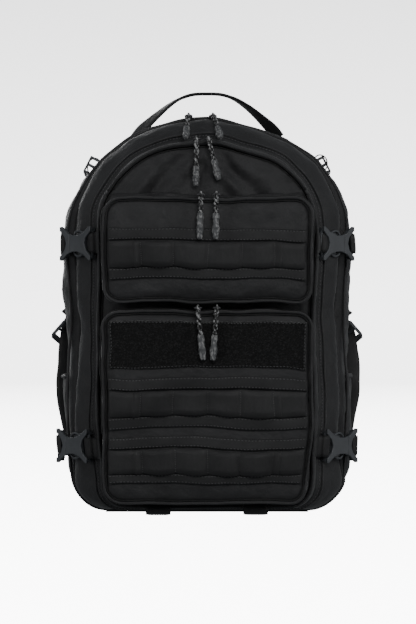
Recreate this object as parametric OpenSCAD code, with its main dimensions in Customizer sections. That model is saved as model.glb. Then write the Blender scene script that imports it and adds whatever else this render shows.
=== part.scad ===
// Arched medical backpack with two compartments, two front pockets and side compression straps.
// Millimetres. X is to the right seen from the front, -Y is the front, +Z is up.
// The origin is the centre of the flat base.

/* [Main compartment] */
// Half of the width at the main zip
main_hw = 166; // [150:1:175]
// Height of the arch's top
main_top_z = 469; // [455:1:475]
// Height where the straight sides turn into the arch
main_spring_z = 339; // [330:1:345]
// Radius of the bottom corners
main_foot_r = 40; // [30:1:44]
// Y of the back panel's inner face
back_y = 84; // [80:1:90]
// Y of the main zip's rear edge
main_zip_y = -10; // [-12:1:-8]
// Thickness of a padded fabric wall
wall = 3; // [2.5:0.5:3.5]

/* [Front compartment] */
// Half of the width
front_hw = 130; // [126:1:132]
// Height of its arch
front_top_z = 439; // [434:1:442]
// Y of the wall between the two compartments
front_back_y = -40; // [-41:1:-39]
// Y of the front panel's outer face
front_y = -84; // [-85:1:-83]

/* [Pockets] */
// Half of the width of both pockets
pocket_hw = 122; // [116:1:123]
// Bottom and top of the upper pocket
upper_z = [250, 372];
// Y of the upper pocket's front face
upper_y = -141; // [-143:1:-139]
// Height of the upper flap's fold
upper_fold_z = 274; // [272:1:275]
// Bottom and top of the lower pocket
lower_z = [15, 240];
// Y of the lower pocket's front face
lower_y = -150; // [-152:1:-148]
// Height of the lower flap's fold
lower_fold_z = 98; // [96:1:99]

/* [Webbing and hardware] */
// Width of the compression, handle and shoulder webbing
web_w = 25; // [20:1:26]
// Height of a modular webbing row
row_h = 29; // [25:1:30]
// Pitch of the tacks along a webbing row
tack_pitch = 38.1; // [38:0.1:38.2]
// Heights of the two rows of compression buckles
buckle_z = [80, 320];
// Height of the carry handle's top
handle_top_z = 504; // [498:1:508]

/* [Hidden] */
$fn = 32;
FABRIC = [0.10, 0.10, 0.11];
WEBBING = [0.16, 0.16, 0.17];
METAL = [0.30, 0.31, 0.33];
PLASTIC = [0.26, 0.28, 0.31];
CORD = [0.45, 0.45, 0.47];
gap = 0.4;                   // clearance between neighbours on different bodies
split_z = 378;               // fold height of the two arch tops
split_gap = 1.5;             // half of the cut at the fold
chain_w = 3.4;               // width of a zip chain
chain_up = 0.8;              // how far a chain stands proud of its gusset
main_zip_end = 60;           // how low the main zip comes down each side
upper_zip_y = -116;
lower_zip_y = -120;
front_zip_y = -60;
flap_cut = 1.5;              // half of the cut at a pocket flap's fold
row_t = 2.4;                 // a webbing row's height above its panel
band_t = 1.2;                // a sewn band's thickness
base_t = 3;
far = 400;                   // larger than the pack, for cutting
side_names = ["left", "right"];

// Slider places: half-distance along X from the centre and side
main_pull_x = [-22, 7];
front_pull_x = [-12, 2];
upper_pull_x = [-7, 11];
lower_pull_x = [-10.5, 11.5];
slider_gap = 0.5;            // between a slider and its chain
slider_h = 4.5;
slider_l = 13;
bar_r = 1.1;                 // cross bar that the cord loops round
cord_r = 1.5;
loop_r = 3.1;                // middle radius of the cord's loop round the bar

buckle_turn = 45;            // turn of a buckle about Z, from the X axis
buckle_at = [150.3, -45.3];  // where its middle line passes the corner of the gusset
lower_shift = 4;             // the lower row stands further out, over the side pockets
side_pocket_x = 176;

// ---- outlines, in X and Z ----

function arc(cx, cz, rx, rz, a0, a1, n) =
    [for (i = [0:n]) let (a = a0 + (a1 - a0) * i / n) [cx + rx * cos(a), cz + rz * sin(a)]];

// An arched outline: round bottom corners, straight sides and an elliptical top.
function arch(hw, z0, spring, top, foot) = concat(
    arc(hw - foot, z0 + foot, foot, foot, -90, 0, 5),
    arc(0, spring, hw, top - spring, 0, 180, 28),
    arc(foot - hw, z0 + foot, foot, foot, 180, 270, 5));

// in: how far the outline is drawn in from the main compartment's outer face
function main_arch(in) = arch(main_hw - in, base_t + in, main_spring_z, main_top_z - in,
    main_foot_r - min(in, 25));
// The front edge of the main compartment, where its gusset has drawn in.
function inner_arch(in) = arch(main_hw - 20 - in, base_t + 2 + in, main_spring_z - 4,
    main_top_z - 19 - in, main_foot_r - 4 - min(in, 20));
function front_arch(in) = arch(front_hw - in, 8 + in, 347, front_top_z - in, 26 - min(in, 20));
// The front compartment's front edge.
function face_arch(in) = arch(front_hw - 5 - in, 10 + in, 345, front_top_z - 8 - in,
    26 - min(in, 20));

function rounded(hw, z, r) = concat(
    arc(hw - r, z[0] + r, r, r, -90, 0, 6), arc(hw - r, z[1] - r, r, r, 0, 90, 6),
    arc(r - hw, z[1] - r, r, r, 90, 180, 6), arc(r - hw, z[0] + r, r, r, 180, 270, 6));

// ---- building blocks ----

// An outline made solid from y_rear forward to y_front.
module slab(y_rear, y_front, outline)
    translate([0, y_rear, 0]) rotate([90, 0, 0])
        linear_extrude(y_rear - y_front) polygon(outline);

module loft(y_rear, outline_rear, y_front, outline_front)
    hull() {
        slab(y_rear, y_rear - 0.1, outline_rear);
        slab(y_front + 0.1, y_front, outline_front);
    }

module above(z) translate([-far, -far, z]) cube([2 * far, 2 * far, far]);
module below(z) translate([-far, -far, z - 2 * far]) cube([2 * far, 2 * far, 2 * far]);

// A strap with a flat section swept along points. side is the direction of its width.
function unit(v) = v / norm(v);
function tangent(p, i) = unit(p[min(i + 1, len(p) - 1)] - p[max(i - 1, 0)]);
function across(t, side) = unit(side - (side * t) * t);
function blend_at(p, i, t) =
    let (n = len(p), a = p[max(i - 1, 0)], b = p[i], c = p[min(i + 1, n - 1)],
        d = p[min(i + 2, n - 1)])
    0.5 * (2 * b + (c - a) * t + (2 * a - 5 * b + 4 * c - d) * t * t
        + (3 * b - a - 3 * c + d) * t * t * t);
function smooth(p, n) = [for (i = [0:len(p) - 2], k = [0:n - 1]) blend_at(p, i, k / n),
    p[len(p) - 1]];
module band(p, side, w0, w1, t) {
    n = len(p);
    rings = [for (i = [0:n - 1]) let (d = tangent(p, i), s = across(d, side), u = cross(d, s),
        w = w0 + (w1 - w0) * i / (n - 1))
        each [p[i] - s * w / 2 - u * t / 2, p[i] + s * w / 2 - u * t / 2,
            p[i] + s * w / 2 + u * t / 2, p[i] - s * w / 2 + u * t / 2]];
    polyhedron(rings, concat([[3, 2, 1, 0]],
        [for (i = [0:n - 2], k = [0:3]) let (a = 4 * i + k, b = 4 * i + (k + 1) % 4)
            each [[a, b, b + 4], [a, b + 4, a + 4]]],
        [[4 * n - 4, 4 * n - 3, 4 * n - 2, 4 * n - 1]]));
}
module both_sides() {
    children();
    mirror([1, 0, 0]) children();
}

// ---- main compartment ----

module back_panel() color(FABRIC)
    slab(back_y + 4, back_y, main_arch(6));

// Two long pads and a lumbar pad, sewn to the back panel.
module back_pads() color(WEBBING) {
    both_sides() translate([72, 0, 0])
        slab(back_y + 16, back_y + 4, rounded(46, [120, 400], 24));
    slab(back_y + 16, back_y + 4, rounded(112, [30, 108], 24));
}

module frame_sheet() color(PLASTIC)
    slab(back_y - 2, back_y - 4, main_arch(22));

module main_rear_ring()
    difference() {
        slab(back_y, main_zip_y, main_arch(0));
        slab(back_y + 1, main_zip_y - 1, main_arch(wall));
    }

module main_rear_gusset() color(FABRIC)
    intersection() { main_rear_ring(); below(main_spring_z); }

module main_rear_arch() color(FABRIC)
    intersection() { main_rear_ring(); above(main_spring_z); }

module chain(y, outer, inner)
    difference() {
        slab(y - gap, y - gap - chain_w, outer);
        slab(y + 1, y - 2 * chain_w, inner);
    }

module zipper_chains() color(METAL) {
    intersection() {
        chain(main_zip_y, main_arch(-chain_up), main_arch(wall));
        above(main_zip_end);
    }
    intersection() {
        chain(front_zip_y, front_arch(-chain_up), front_arch(wall));
        below(split_z - split_gap);
    }
    intersection() {
        chain(upper_zip_y, rounded(pocket_hw + chain_up, upper_z + [0, chain_up], 20),
            rounded(pocket_hw - wall, upper_z + [wall, -wall], 17));
        above(upper_fold_z + flap_cut);
    }
    intersection() {
        chain(lower_zip_y, rounded(pocket_hw + chain_up, lower_z + [0, chain_up], 20),
            rounded(pocket_hw - wall, lower_z + [wall, -wall], 17));
        above(lower_fold_z + flap_cut);
    }
}

main_front_y = main_zip_y - 2 * gap - chain_w;   // rear edge of the front half

module main_front_ring()
    difference() {
        loft(main_front_y, main_arch(0), front_back_y, inner_arch(0));
        loft(main_front_y + 1, main_arch(wall), front_back_y - 1, inner_arch(wall));
    }

module main_front_gusset() color(FABRIC)
    intersection() { main_front_ring(); below(split_z - split_gap); }

module main_top_gusset() color(FABRIC)
    intersection() { main_front_ring(); above(split_z + split_gap); }

module divider()
    slab(front_back_y + 2.5, front_back_y, inner_arch(wall + 0.6));

module divider_panel() color(FABRIC)
    intersection() { divider(); below(split_z - split_gap); }

module main_top_wall() color(FABRIC)
    intersection() { divider(); above(split_z + split_gap); }

// A sleeve open at its top, against the frame sheet.
module inner_sleeve() color(FABRIC)
    difference() {
        slab(back_y - 4.5, back_y - 24, rounded(118, [12, 300], 10));
        slab(back_y - 6, back_y - 22.5, rounded(116.5, [13.5, 320], 8));
    }

// A mesh pocket open at its top, on the divider.
module mesh_pocket() color(WEBBING)
    difference() {
        slab(front_back_y + 18, front_back_y + 2.5, rounded(105, [14, 150], 10));
        slab(front_back_y + 16.5, front_back_y + 4, rounded(103.5, [15.5, 170], 8));
    }

module base_panel() color(WEBBING)
    translate([-main_hw + main_foot_r, main_front_y, 0])
        cube([2 * (main_hw - main_foot_r), back_y - main_front_y, base_t]);

// ---- front compartment ----

module front_ring()
    difference() {
        slab(front_back_y, front_zip_y, front_arch(0));
        slab(front_back_y + 1, front_zip_y - 1, front_arch(wall));
    }

module front_gusset() color(FABRIC)
    intersection() { front_ring(); below(split_z - split_gap); }

module front_top_gusset() color(FABRIC)
    intersection() { front_ring(); above(split_z + split_gap); }

front_shell_y = front_zip_y - 2 * gap - chain_w;

module front_shell()
    difference() {
        loft(front_shell_y, front_arch(0), front_y, face_arch(0));
        loft(front_shell_y + 1, front_arch(wall), front_y + wall, face_arch(wall));
    }

module front_panel() color(FABRIC)
    intersection() { front_shell(); below(split_z - split_gap); }

module front_top_panel() color(FABRIC)
    intersection() { front_shell(); above(split_z + split_gap); }

// Rows of elastic loops on the divider's front side.
module front_organizer() color(WEBBING)
    slab(front_back_y, front_back_y - 6, rounded(100, [60, 330], 8));

// ---- pockets ----

// z: bottom and top, zip_y: the zip, y: the front face, fold_z: where the flap folds
module pocket_shell(z, zip_y, y, fold_z) {
    difference() {
        slab(front_y, zip_y, rounded(pocket_hw, z, 20));
        slab(front_y + 1, zip_y - 1, rounded(pocket_hw - wall, z + [wall, -wall], 17));
    }
    intersection() {
        pocket_front(z, zip_y, y);
        below(fold_z - flap_cut);
    }
}

module pocket_front(z, y_rear, y)
    difference() {
        slab(y_rear, y, rounded(pocket_hw, z, 20));
        slab(y_rear + 1, y + wall, rounded(pocket_hw - wall, z + [wall, -wall], 17));
    }

module pocket_flap(z, zip_y, y, fold_z)
    intersection() {
        pocket_front(z, zip_y - 2 * gap - chain_w, y);
        above(fold_z + flap_cut);
    }

// A webbing row between the heights z0 and z0 + row_h, tacked down at each pitch.
module row(y, z0) {
    count = 3;
    difference() {
        translate([2 - pocket_hw, y - row_t, z0]) cube([2 * (pocket_hw - 2), row_t, row_h]);
        for (i = [-count:count - 1])
            translate([(i + 0.5) * tack_pitch - 14, y - row_t + 1, z0 - 1])
                cube([28, row_t, row_h + 2]);
    }
}
module sewn_band(y, z0, h)
    translate([2 - pocket_hw, y - band_t, z0]) cube([2 * (pocket_hw - 2), band_t, h]);

module upper_pocket_shell() color(FABRIC)
    pocket_shell(upper_z, upper_zip_y, upper_y, upper_fold_z);
module upper_flap_panel() color(FABRIC)
    pocket_flap(upper_z, upper_zip_y, upper_y, upper_fold_z);
module upper_flap_webbing() color(WEBBING) {
    row(upper_y, 292);
    sewn_band(upper_y, 321.5, 14.5);
    sewn_band(upper_y, 277, 14.5);
}

module lower_pocket_shell() color(FABRIC)
    pocket_shell(lower_z, lower_zip_y, lower_y, lower_fold_z);
module lower_flap_panel() color(FABRIC)
    pocket_flap(lower_z, lower_zip_y, lower_y, lower_fold_z);
module loop_panel() color([0.05, 0.05, 0.05])
    translate([-114, lower_y - 1.6, 171]) cube([228, 1.6, 57]);
module lower_flap_webbing() color(WEBBING) {
    row(lower_y, 117.5);
    sewn_band(lower_y, 147, 14);
    sewn_band(lower_y, 103, 14);
}
module lower_base_webbing() color(WEBBING) {
    row(lower_y, 50);
    sewn_band(lower_y, 79.5, 13.5);
    sewn_band(lower_y, 38, 11.5);
}
module side_label() color(WEBBING)
    translate([-pocket_hw - 1, lower_y + 4, 38]) cube([1, 14, 54]);

// ---- sides, base and back ----

// Open-topped slip pockets on both sides of the rear gusset.
module side_pockets() color(FABRIC)
    both_sides() difference() {
        translate([main_hw, 12, 36]) cube([side_pocket_x - main_hw, 66, 126]);
        translate([main_hw - 1, 14, 38]) cube([side_pocket_x - main_hw - 1, 62, 130]);
    }

lash_path = [[0, -45, 6], [0, -76, 2.6], [0, -100, 2.2], [0, -108, 6.5], [0, -101, 11],
    [0, -88, 13.6]];
module lash_straps() color(WEBBING)
    both_sides() translate([59.5, 0, 0]) band(smooth(lash_path, 3), [1, 0, 0], 30, 30, 2);

shoulder_path = [[46, 94.5, 420], [48, 104, 440], [55, 130, 446], [66, 152, 416],
    [78, 164, 370], [92, 165, 322], [116, 156, 276], [146, 138, 240], [162, 128, 226]];
module shoulder_straps() color(FABRIC)
    both_sides() band(smooth(shoulder_path, 3), [1, 0, 0], 62, 44, 12);

webbing_path = [[164.5, 126.5, 221.5], [168.5, 118, 206], [171, 110, 176], [171, 103, 136],
    [166, 97, 92], [154, 94, 62]];
module strap_webbing() color(WEBBING)
    both_sides() band(smooth(webbing_path, 3), [1, 0, 0.3], web_w, web_w, 2);

// Triangular wings at the bottom corners of the back panel.
module strap_anchors() color(FABRIC)
    both_sides() translate([0, back_y + 7, 0]) rotate([90, 0, 0]) linear_extrude(3)
        polygon([[118, 24], [152, 34], [166, 66], [148, 74]]);

// A ladder lock: a frame with two slots, its length along local X.
module ladder_lock(w)
    difference() {
        translate([-11, -3, -w / 2 - 3]) cube([22, 6, w + 6]);
        for (x = [-8, 2]) translate([x, -4, -w / 2 - 0.5]) cube([6, 8, w + 1]);
    }

// Straight straps from the pack's top corners to the shoulder straps, and a hanging tail.
lifter_ends = [[117, back_y + 8, 403], [80, 144, 428]];
module load_lifters() color(WEBBING)
    both_sides() {
        hull() for (at = lifter_ends) translate(at) cube([1.8, 1.8, 18]);
        translate([137, back_y + 8.5, 415]) rotate([0, -28, 0])
            cube([10, 1.6, 30], center = true);
    }

module ladder_locks() color(PLASTIC)
    both_sides() {
        translate([137, back_y + 12.6, 415]) rotate([0, 62, 0]) rotate([90, 0, 0])
            ladder_lock(16);
        translate([173.5, 124.5, 212]) rotate([0, 48, 0]) rotate([38, 0, 0]) rotate([90, 0, 0])
            ladder_lock(web_w);
    }

handle_path = [[-78, 0, 468.5], [-77.4, 0, 473], [-68, 0, 484], [-40, 0, handle_top_z - 7],
    [0, 0, handle_top_z - 2.5], [40, 0, handle_top_z - 7], [68, 0, 484], [77.4, 0, 473],
    [78, 0, 468.5]];
handle_y = 50;
module carry_handle() color(WEBBING)
    translate([0, handle_y, 0]) band(smooth(handle_path, 3), [0, 1, 0], web_w, web_w, 4);

// The sewn feet lie on the arch, each with a tab up to the handle's fold.
foot_t = 1.8;
module handle_feet() color(WEBBING) {
    foot_y = [handle_y + web_w / 2, handle_y - web_w / 2];
    intersection() {
        difference() {
            slab(foot_y[0], foot_y[1], main_arch(-foot_t));
            slab(foot_y[0] + 1, foot_y[1] - 1, main_arch(0));
        }
        both_sides() translate([56, 0, 400]) cube([42, 2 * handle_y, 60]);
    }
    both_sides() translate([80.8, foot_y[1], 454.8]) cube([foot_t, web_w, 15.2]);
}

// ---- zip sliders and cord pulls ----

// A slider that runs on a chain whose top is at the origin. The tab reaches forward to the
// cross bar at y = -reach and z = bar_z.
module slider(reach, bar_z) color(METAL) {
    translate([-4, -slider_l / 2, slider_gap]) cube([8, slider_l, slider_h]);
    for (x = [-4, 2.6])
        translate([x, -reach - 1.8, bar_z - 1.6]) cube([1.4, reach, 3.2]);
    translate([-3.4, -reach, bar_z]) rotate([0, 90, 0]) cylinder(r = bar_r, h = 6.8);
}

// A doubled cord looped round the bar at the origin, hanging down into a sleeve.
module pull(drop, sleeve_l, lean) color(CORD)
    rotate([0, lean, 0]) {
        difference() {
            translate([-cord_r, -loop_r - cord_r, -drop - 1])
                cube([2 * cord_r, 2 * (loop_r + cord_r), drop + 1 + loop_r + cord_r]);
            translate([-far, cord_r - loop_r, -drop + 1])
                cube([2 * far, 2 * (loop_r - cord_r), drop - 1 + loop_r - cord_r]);
        }
        translate([0, 0, -drop - sleeve_l]) cylinder(r = loop_r + cord_r + 0.4, h = sleeve_l);
    }

// Both sliders of one zip. at: the chain's top; the bar is at reach and bar_z from there.
module pocket_slider_at(side, x, at, reach, bar_z)
    translate([x[side], at[0], at[1]]) slider(reach, bar_z);

main_slider_at = [main_zip_y - gap - chain_w / 2, main_top_z + chain_up];
front_slider_at = [front_zip_y - gap - chain_w / 2, front_top_z + chain_up];
upper_slider_at = [upper_zip_y - gap - chain_w / 2, upper_z[1] + chain_up];
lower_slider_at = [lower_zip_y - gap - chain_w / 2, lower_z[1] + chain_up];
main_reach = 15;
front_reach = 30;
upper_reach = 31;
lower_reach = 36;
bar_up = 2.8;                // height of the bar above a chain's top

module main_slider(side) pocket_slider_at(side, main_pull_x, main_slider_at, main_reach, bar_up);
module front_slider(side) pocket_slider_at(side, front_pull_x, front_slider_at, front_reach, bar_up);
module upper_slider(side) pocket_slider_at(side, upper_pull_x, upper_slider_at, upper_reach, bar_up);
module lower_slider(side) pocket_slider_at(side, lower_pull_x, lower_slider_at, lower_reach, bar_up);

module pull_part(side, x, at, reach, drop, sleeve_l, lean)
    translate([x[side], at[0] - reach, at[1] + bar_up]) pull(drop, sleeve_l, lean);

module front_pull(side)
    pull_part(side, front_pull_x, front_slider_at, front_reach, side == 0 ? 36 : 28, 22,
        side == 0 ? 0 : -14);
module upper_pull(side)
    pull_part(side, upper_pull_x, upper_slider_at, upper_reach, 24, 28, 0);
module lower_pull(side)
    pull_part(side, lower_pull_x, lower_slider_at, lower_reach, 34, 29, 0);

// The main pulls lie forward over the arch, past the front compartment's top edge.
main_tilt = 70;              // their lean forward, from hanging straight down
module main_pull(side) color(CORD)
    translate([main_pull_x[side], main_slider_at[0] - main_reach, main_slider_at[1] + bar_up])
        rotate([-main_tilt, 0, 0]) pull(side == 0 ? 35 : 37, 24, side == 0 ? 6 : -10);

// ---- compression buckles ----

// Local X runs outward along the strap, local Z is up, local Y is the thickness.
module on_corner(side, row)
    mirror([1 - side, 0, 0])
        translate([buckle_at[0] + (row == 0 ? lower_shift : 0), buckle_at[1], buckle_z[row]])
            rotate([0, 0, buckle_turn]) children();

module socket()
    difference() {
        translate([-22, -5, -17]) cube([30, 10, 34]);
        translate([-14, -2.8, -13]) cube([23, 5.6, 26]);
        translate([-20, -6, -13]) cube([4, 12, 26]);
        for (z = [-18, 12]) translate([-9, -3, z]) cube([9, 6, 6]);
    }

module plug() color(PLASTIC)
    difference() {
        union() {
            translate([8.5, -4, -16]) cube([24.5, 8, 32]);
            for (z = [-10.5, 6.5]) translate([-11, -2.2, z]) cube([20, 4.4, 4]);
        }
        for (x = [14, 23]) translate([x, -5, -13]) cube([5, 10, 26]);
    }

module buckle_sockets() color(PLASTIC)
    for (side = [0, 1], row = [0, 1]) on_corner(side, row) socket();

strap_path = [[157, -28.5, 0], [167, -18, 0], [170.2, -7, 0], [170.2, 20, 0], [169.5, 83, 0]];
lower_strap_path = [[161, -28.5, 0], [170, -17, 0], [176, -4, 0], [177.4, 14, 0],
    [177.4, 78, 0]];
module compression_straps() color(WEBBING)
    both_sides() {
        translate([0, 0, buckle_z[1]]) band(strap_path, [0, 0, 1], web_w, web_w, 1.5);
        translate([0, 0, buckle_z[0]]) band(lower_strap_path, [0, 0, 1], web_w, web_w, 1.5);
    }

tab_path = [[134.5, -61.1, 0], [131.8, -65, 0], [130.8, -69, 0], [127.8, -81, 0]];
module compression_tabs() color(WEBBING)
    both_sides() for (row = [0, 1])
        translate([row == 0 ? 1.5 : 0, 0, buckle_z[row]])
            band(tab_path, [0, 0, 1], web_w, web_w, 1.2);

// ---- sternum strap ----

sternum_z = 350;
sternum_y = 177;
module sternum_strap() color(WEBBING) {
    translate([-92, sternum_y - 1, sternum_z - 10]) cube([78, 2, 20]);
    translate([9, sternum_y - 1, sternum_z - 10]) cube([83, 2, 20]);
    for (x = [-90, 82]) translate([x, sternum_y + 1, sternum_z - 13]) cube([8, 4, 26]);
}
module sternum_socket() color(PLASTIC)
    difference() {
        translate([-24, sternum_y + 1, sternum_z - 14]) cube([26, 9, 28]);
        translate([-8, sternum_y + 3, sternum_z - 10.5]) cube([11, 5, 21]);
    }
module sternum_plug() color(PLASTIC)
    difference() {
        union() {
            translate([3, sternum_y + 1.6, sternum_z - 13]) cube([22, 7.4, 26]);
            for (z = [-8, 4])
                translate([-6, sternum_y + 3.4, sternum_z + z]) cube([10, 4.2, 4]);
        }
        for (x = [9, 17])
            translate([x, sternum_y, sternum_z - 10.5]) cube([5, 10, 21]);
    }

back_panel();
back_pads();
frame_sheet();
main_rear_gusset();
main_rear_arch();
zipper_chains();
main_front_gusset();
divider_panel();
inner_sleeve();
mesh_pocket();
front_gusset();
front_panel();
front_organizer();
upper_pocket_shell();
lower_pocket_shell();
lower_base_webbing();
side_pockets();
base_panel();
lash_straps();
compression_straps();
compression_tabs();
buckle_sockets();
side_label();
shoulder_straps();
strap_webbing();
ladder_locks();
load_lifters();
strap_anchors();
main_top_gusset();
main_top_wall();
front_top_gusset();
front_top_panel();
upper_flap_panel();
upper_flap_webbing();
lower_flap_panel();
loop_panel();
lower_flap_webbing();
for (side = [0, 1]) {
    main_slider(side);
    front_slider(side);
    upper_slider(side);
    lower_slider(side);
    main_pull(side);
    front_pull(side);
    upper_pull(side);
    lower_pull(side);
    on_corner(side, 1) plug();
    on_corner(side, 0) plug();
}
carry_handle();
handle_feet();
sternum_strap();
sternum_socket();
sternum_plug();
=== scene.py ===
"""The looks of an arched medical backpack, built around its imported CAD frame. Metres, -Y is the front."""
import math

import bmesh
import bpy
from mathutils import Matrix, Vector, noise


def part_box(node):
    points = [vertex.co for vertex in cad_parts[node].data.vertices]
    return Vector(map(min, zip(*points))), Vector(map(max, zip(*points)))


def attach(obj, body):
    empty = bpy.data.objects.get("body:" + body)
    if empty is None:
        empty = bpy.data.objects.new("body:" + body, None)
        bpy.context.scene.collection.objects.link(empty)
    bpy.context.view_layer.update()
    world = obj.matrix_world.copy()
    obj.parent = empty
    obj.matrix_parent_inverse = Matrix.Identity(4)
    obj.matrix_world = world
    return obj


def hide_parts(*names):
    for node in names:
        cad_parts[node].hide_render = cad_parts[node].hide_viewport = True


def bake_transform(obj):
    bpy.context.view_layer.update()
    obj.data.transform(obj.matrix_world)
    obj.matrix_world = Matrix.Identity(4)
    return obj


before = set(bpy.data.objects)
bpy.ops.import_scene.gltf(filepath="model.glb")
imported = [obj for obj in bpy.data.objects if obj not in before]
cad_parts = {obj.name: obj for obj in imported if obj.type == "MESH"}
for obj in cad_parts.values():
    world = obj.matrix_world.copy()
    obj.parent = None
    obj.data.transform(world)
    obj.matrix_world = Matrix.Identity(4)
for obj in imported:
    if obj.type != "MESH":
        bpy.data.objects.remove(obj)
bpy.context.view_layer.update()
MM = 0.001

# ---- places, from the frame ----

main_lo, main_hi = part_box("main_rear_gusset")
front_lo, front_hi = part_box("front_gusset")
top_lo, top_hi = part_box("front_top_gusset")
upper_lo, upper_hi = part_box("upper_pocket_shell")
lower_lo, lower_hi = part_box("lower_pocket_shell")
MAIN_HW, MAIN_TOP, BACK_Y, ZIP_Y = main_hi[0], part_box("main_rear_arch")[1][2], main_hi[1], main_lo[1]
WALL_Y = front_hi[1]                    # between the two compartments
FRONT_HW, FRONT_TOP = front_hi[0], top_hi[2]
FRONT_ZIP_Y = front_lo[1]
FACE_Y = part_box("front_panel")[0][1]    # the front compartment's face
UPPER_Y, LOWER_Y = upper_lo[1], lower_lo[1]
POCKET_HW = upper_hi[0]
FOLD_Z = (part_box("main_front_gusset")[1][2] + top_lo[2]) / 2
UPPER_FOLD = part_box("upper_flap_panel")[0][2] - 1.5 * MM
LOWER_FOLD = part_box("lower_flap_panel")[0][2] - 1.5 * MM
UPPER_ZIP_Y, LOWER_ZIP_Y = -118 * MM, -122 * MM
PITCH = 38.1 * MM                       # of the tacks along a webbing row


def placed(name, data):
    """A new object in the scene."""
    obj = bpy.data.objects.new(name, data)
    bpy.context.collection.objects.link(obj)
    return obj


# ---- camera, light and floor ----

def camera():
    """Straight on from the front at mid height, with a long lens."""
    distance, picture_h = 5.01, 0.7488      # the picture shows this height at this distance
    data = bpy.data.cameras.new("camera")
    data.sensor_width, data.clip_end = 36, 100
    data.lens = data.sensor_width * distance / picture_h
    obj = placed("camera", data)
    obj.location = (1.2 * MM, -5.0, 0.2388)
    obj.rotation_euler = (math.pi / 2, 0, 0)
    bpy.context.scene.camera = obj


def lamp(name, place, target, size, power):
    """A soft lamp of a size that looks at a target."""
    data = bpy.data.lights.new(name, "AREA")
    data.shape, data.size, data.size_y, data.energy = "RECTANGLE", size[0], size[1], power
    obj = placed(name, data)
    obj.location = place
    obj.rotation_euler = (Vector(target) - Vector(place)).to_track_quat("-Z", "Y").to_euler()


def studio():
    """Soft lights before, beside and behind, and a pale floor and dome that light nothing."""
    world = bpy.data.worlds.new("studio")
    bpy.context.scene.world = world
    world.use_nodes = True
    sky = world.node_tree.nodes["Background"].inputs
    sky["Color"].default_value, sky["Strength"].default_value = (0.9, 0.95, 1, 1), 0.22
    lamp("key", (0.5, -2.5, 1.35), (0, 0, 0.28), (1.3, 0.9), 34)
    lamp("left", (-2.3, -1.5, 0.9), (0, 0, 0.25), (0.7, 1.8), 20)
    lamp("right", (2.4, -1.0, 0.8), (0, 0, 0.25), (0.7, 1.8), 17)
    lamp("rear", (-0.8, 2.4, 0.9), (0, 0, 0.2), (1.6, 1.2), 30)
    bpy.ops.mesh.primitive_uv_sphere_add(segments=64, ring_count=32, radius=24)
    dome = bpy.context.object
    dome.name = "dome"
    dome.data.materials.append(glow("pale_glow", (0.93, 0.93, 0.935), "Z", (0.24, 4.8), (2.4, 2.9)))
    r = 23
    mesh = bpy.data.meshes.new("floor")
    mesh.from_pydata([(-r, -r, 0), (r, -r, 0), (r, r, 0), (-r, r, 0)], [], [(0, 1, 2, 3)])
    floor = placed("floor", mesh)
    floor.data.materials.append(glow("floor_glow", (0.93, 0.93, 0.935), "Y", (9, 4.8), (-2, 11)))
    for obj in (dome, floor):
        obj.visible_diffuse = obj.visible_glossy = obj.visible_shadow = False


# ---- materials ----

class Shade:
    """A new material. Its methods add the nodes that the looks are made of and return their outputs."""

    def __init__(self, name, stretch=(1, 1, 1)):
        self.material = bpy.data.materials.new(name)
        self.material.use_nodes = True
        self.nodes, self.links = self.material.node_tree.nodes, self.material.node_tree.links
        self.shader = self.nodes["Principled BSDF"]
        coords = self.node("TexCoord")
        self.at = self.node("Mapping", Scale=stretch, Vector=coords.outputs["Object"]).outputs["Vector"]

    def node(self, kind, **inputs):
        """A node of a kind; each input is a number, a colour or the output that feeds it."""
        node = self.nodes.new("ShaderNode" + kind)
        for key, value in inputs.items():
            self.put(node, key.replace("_", " "), value)
        return node

    def put(self, node, key, value):
        if isinstance(value, bpy.types.NodeSocket):
            self.links.new(value, node.inputs[key])
        else:
            node.inputs[key].default_value = value

    def set(self, **inputs):
        """Sets inputs of the shader; a name's spaces are written as underscores."""
        for key, value in inputs.items():
            self.put(self.shader, key.replace("_", " "), value)

    def noise(self, scale, detail=2, rough=0.5):
        node = self.node("TexNoise", Scale=scale, Detail=detail, Roughness=rough, Vector=self.at)
        return node.outputs["Fac"]

    def ramp(self, fac, *stops):
        """Two colours at two places, blended between them."""
        node = self.node("ValToRGB", Fac=fac)
        for element, (place, color) in zip(node.color_ramp.elements, stops):
            element.position, element.color = place, (*color, 1)
        return node.outputs["Color"]

    def maths(self, kind, a, b):
        node = self.node("Math")
        node.operation = kind
        self.put(node, 0, a)
        self.put(node, 1, b)
        return node.outputs[0]

    def waves(self, axis, scale):
        node = self.node("TexWave", Scale=scale, Distortion=0.4, Detail=0, Vector=self.at)
        node.wave_type, node.bands_direction, node.wave_profile = "BANDS", axis, "SIN"
        return node.outputs["Fac"]

    def cells(self, scale):
        """Small cells: the distance to their middles, and one random value for each."""
        node = self.node("TexVoronoi", Scale=scale, Vector=self.at)
        pick = self.node("SeparateColor", Color=node.outputs["Color"])
        return node.outputs["Distance"], pick.outputs["Red"]

    def bump(self, height, strength, distance):
        """Bumps the shader, on top of an earlier bump."""
        node = self.node("Bump", Strength=strength, Distance=distance, Height=height)
        before = self.shader.inputs["Normal"]
        if before.is_linked:
            self.links.new(before.links[0].from_socket, node.inputs["Normal"])
        self.links.new(node.outputs["Normal"], before)


def glow(name, color, axis, first, last):
    """A material that only shines. first and last are (place along the axis, strength)."""
    shade = Shade(name)
    shade.nodes.remove(shade.shader)
    apart = shade.node("SeparateXYZ", Vector=shade.at)
    fade = shade.node("MapRange", Value=apart.outputs[axis], From_Min=first[0], To_Min=first[1],
                      From_Max=last[0], To_Max=last[1])
    shine = shade.node("Emission", Color=(*color, 1), Strength=fade.outputs["Result"])
    shade.links.new(shine.outputs[0], shade.nodes["Material Output"].inputs["Surface"])
    return shade.material


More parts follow.
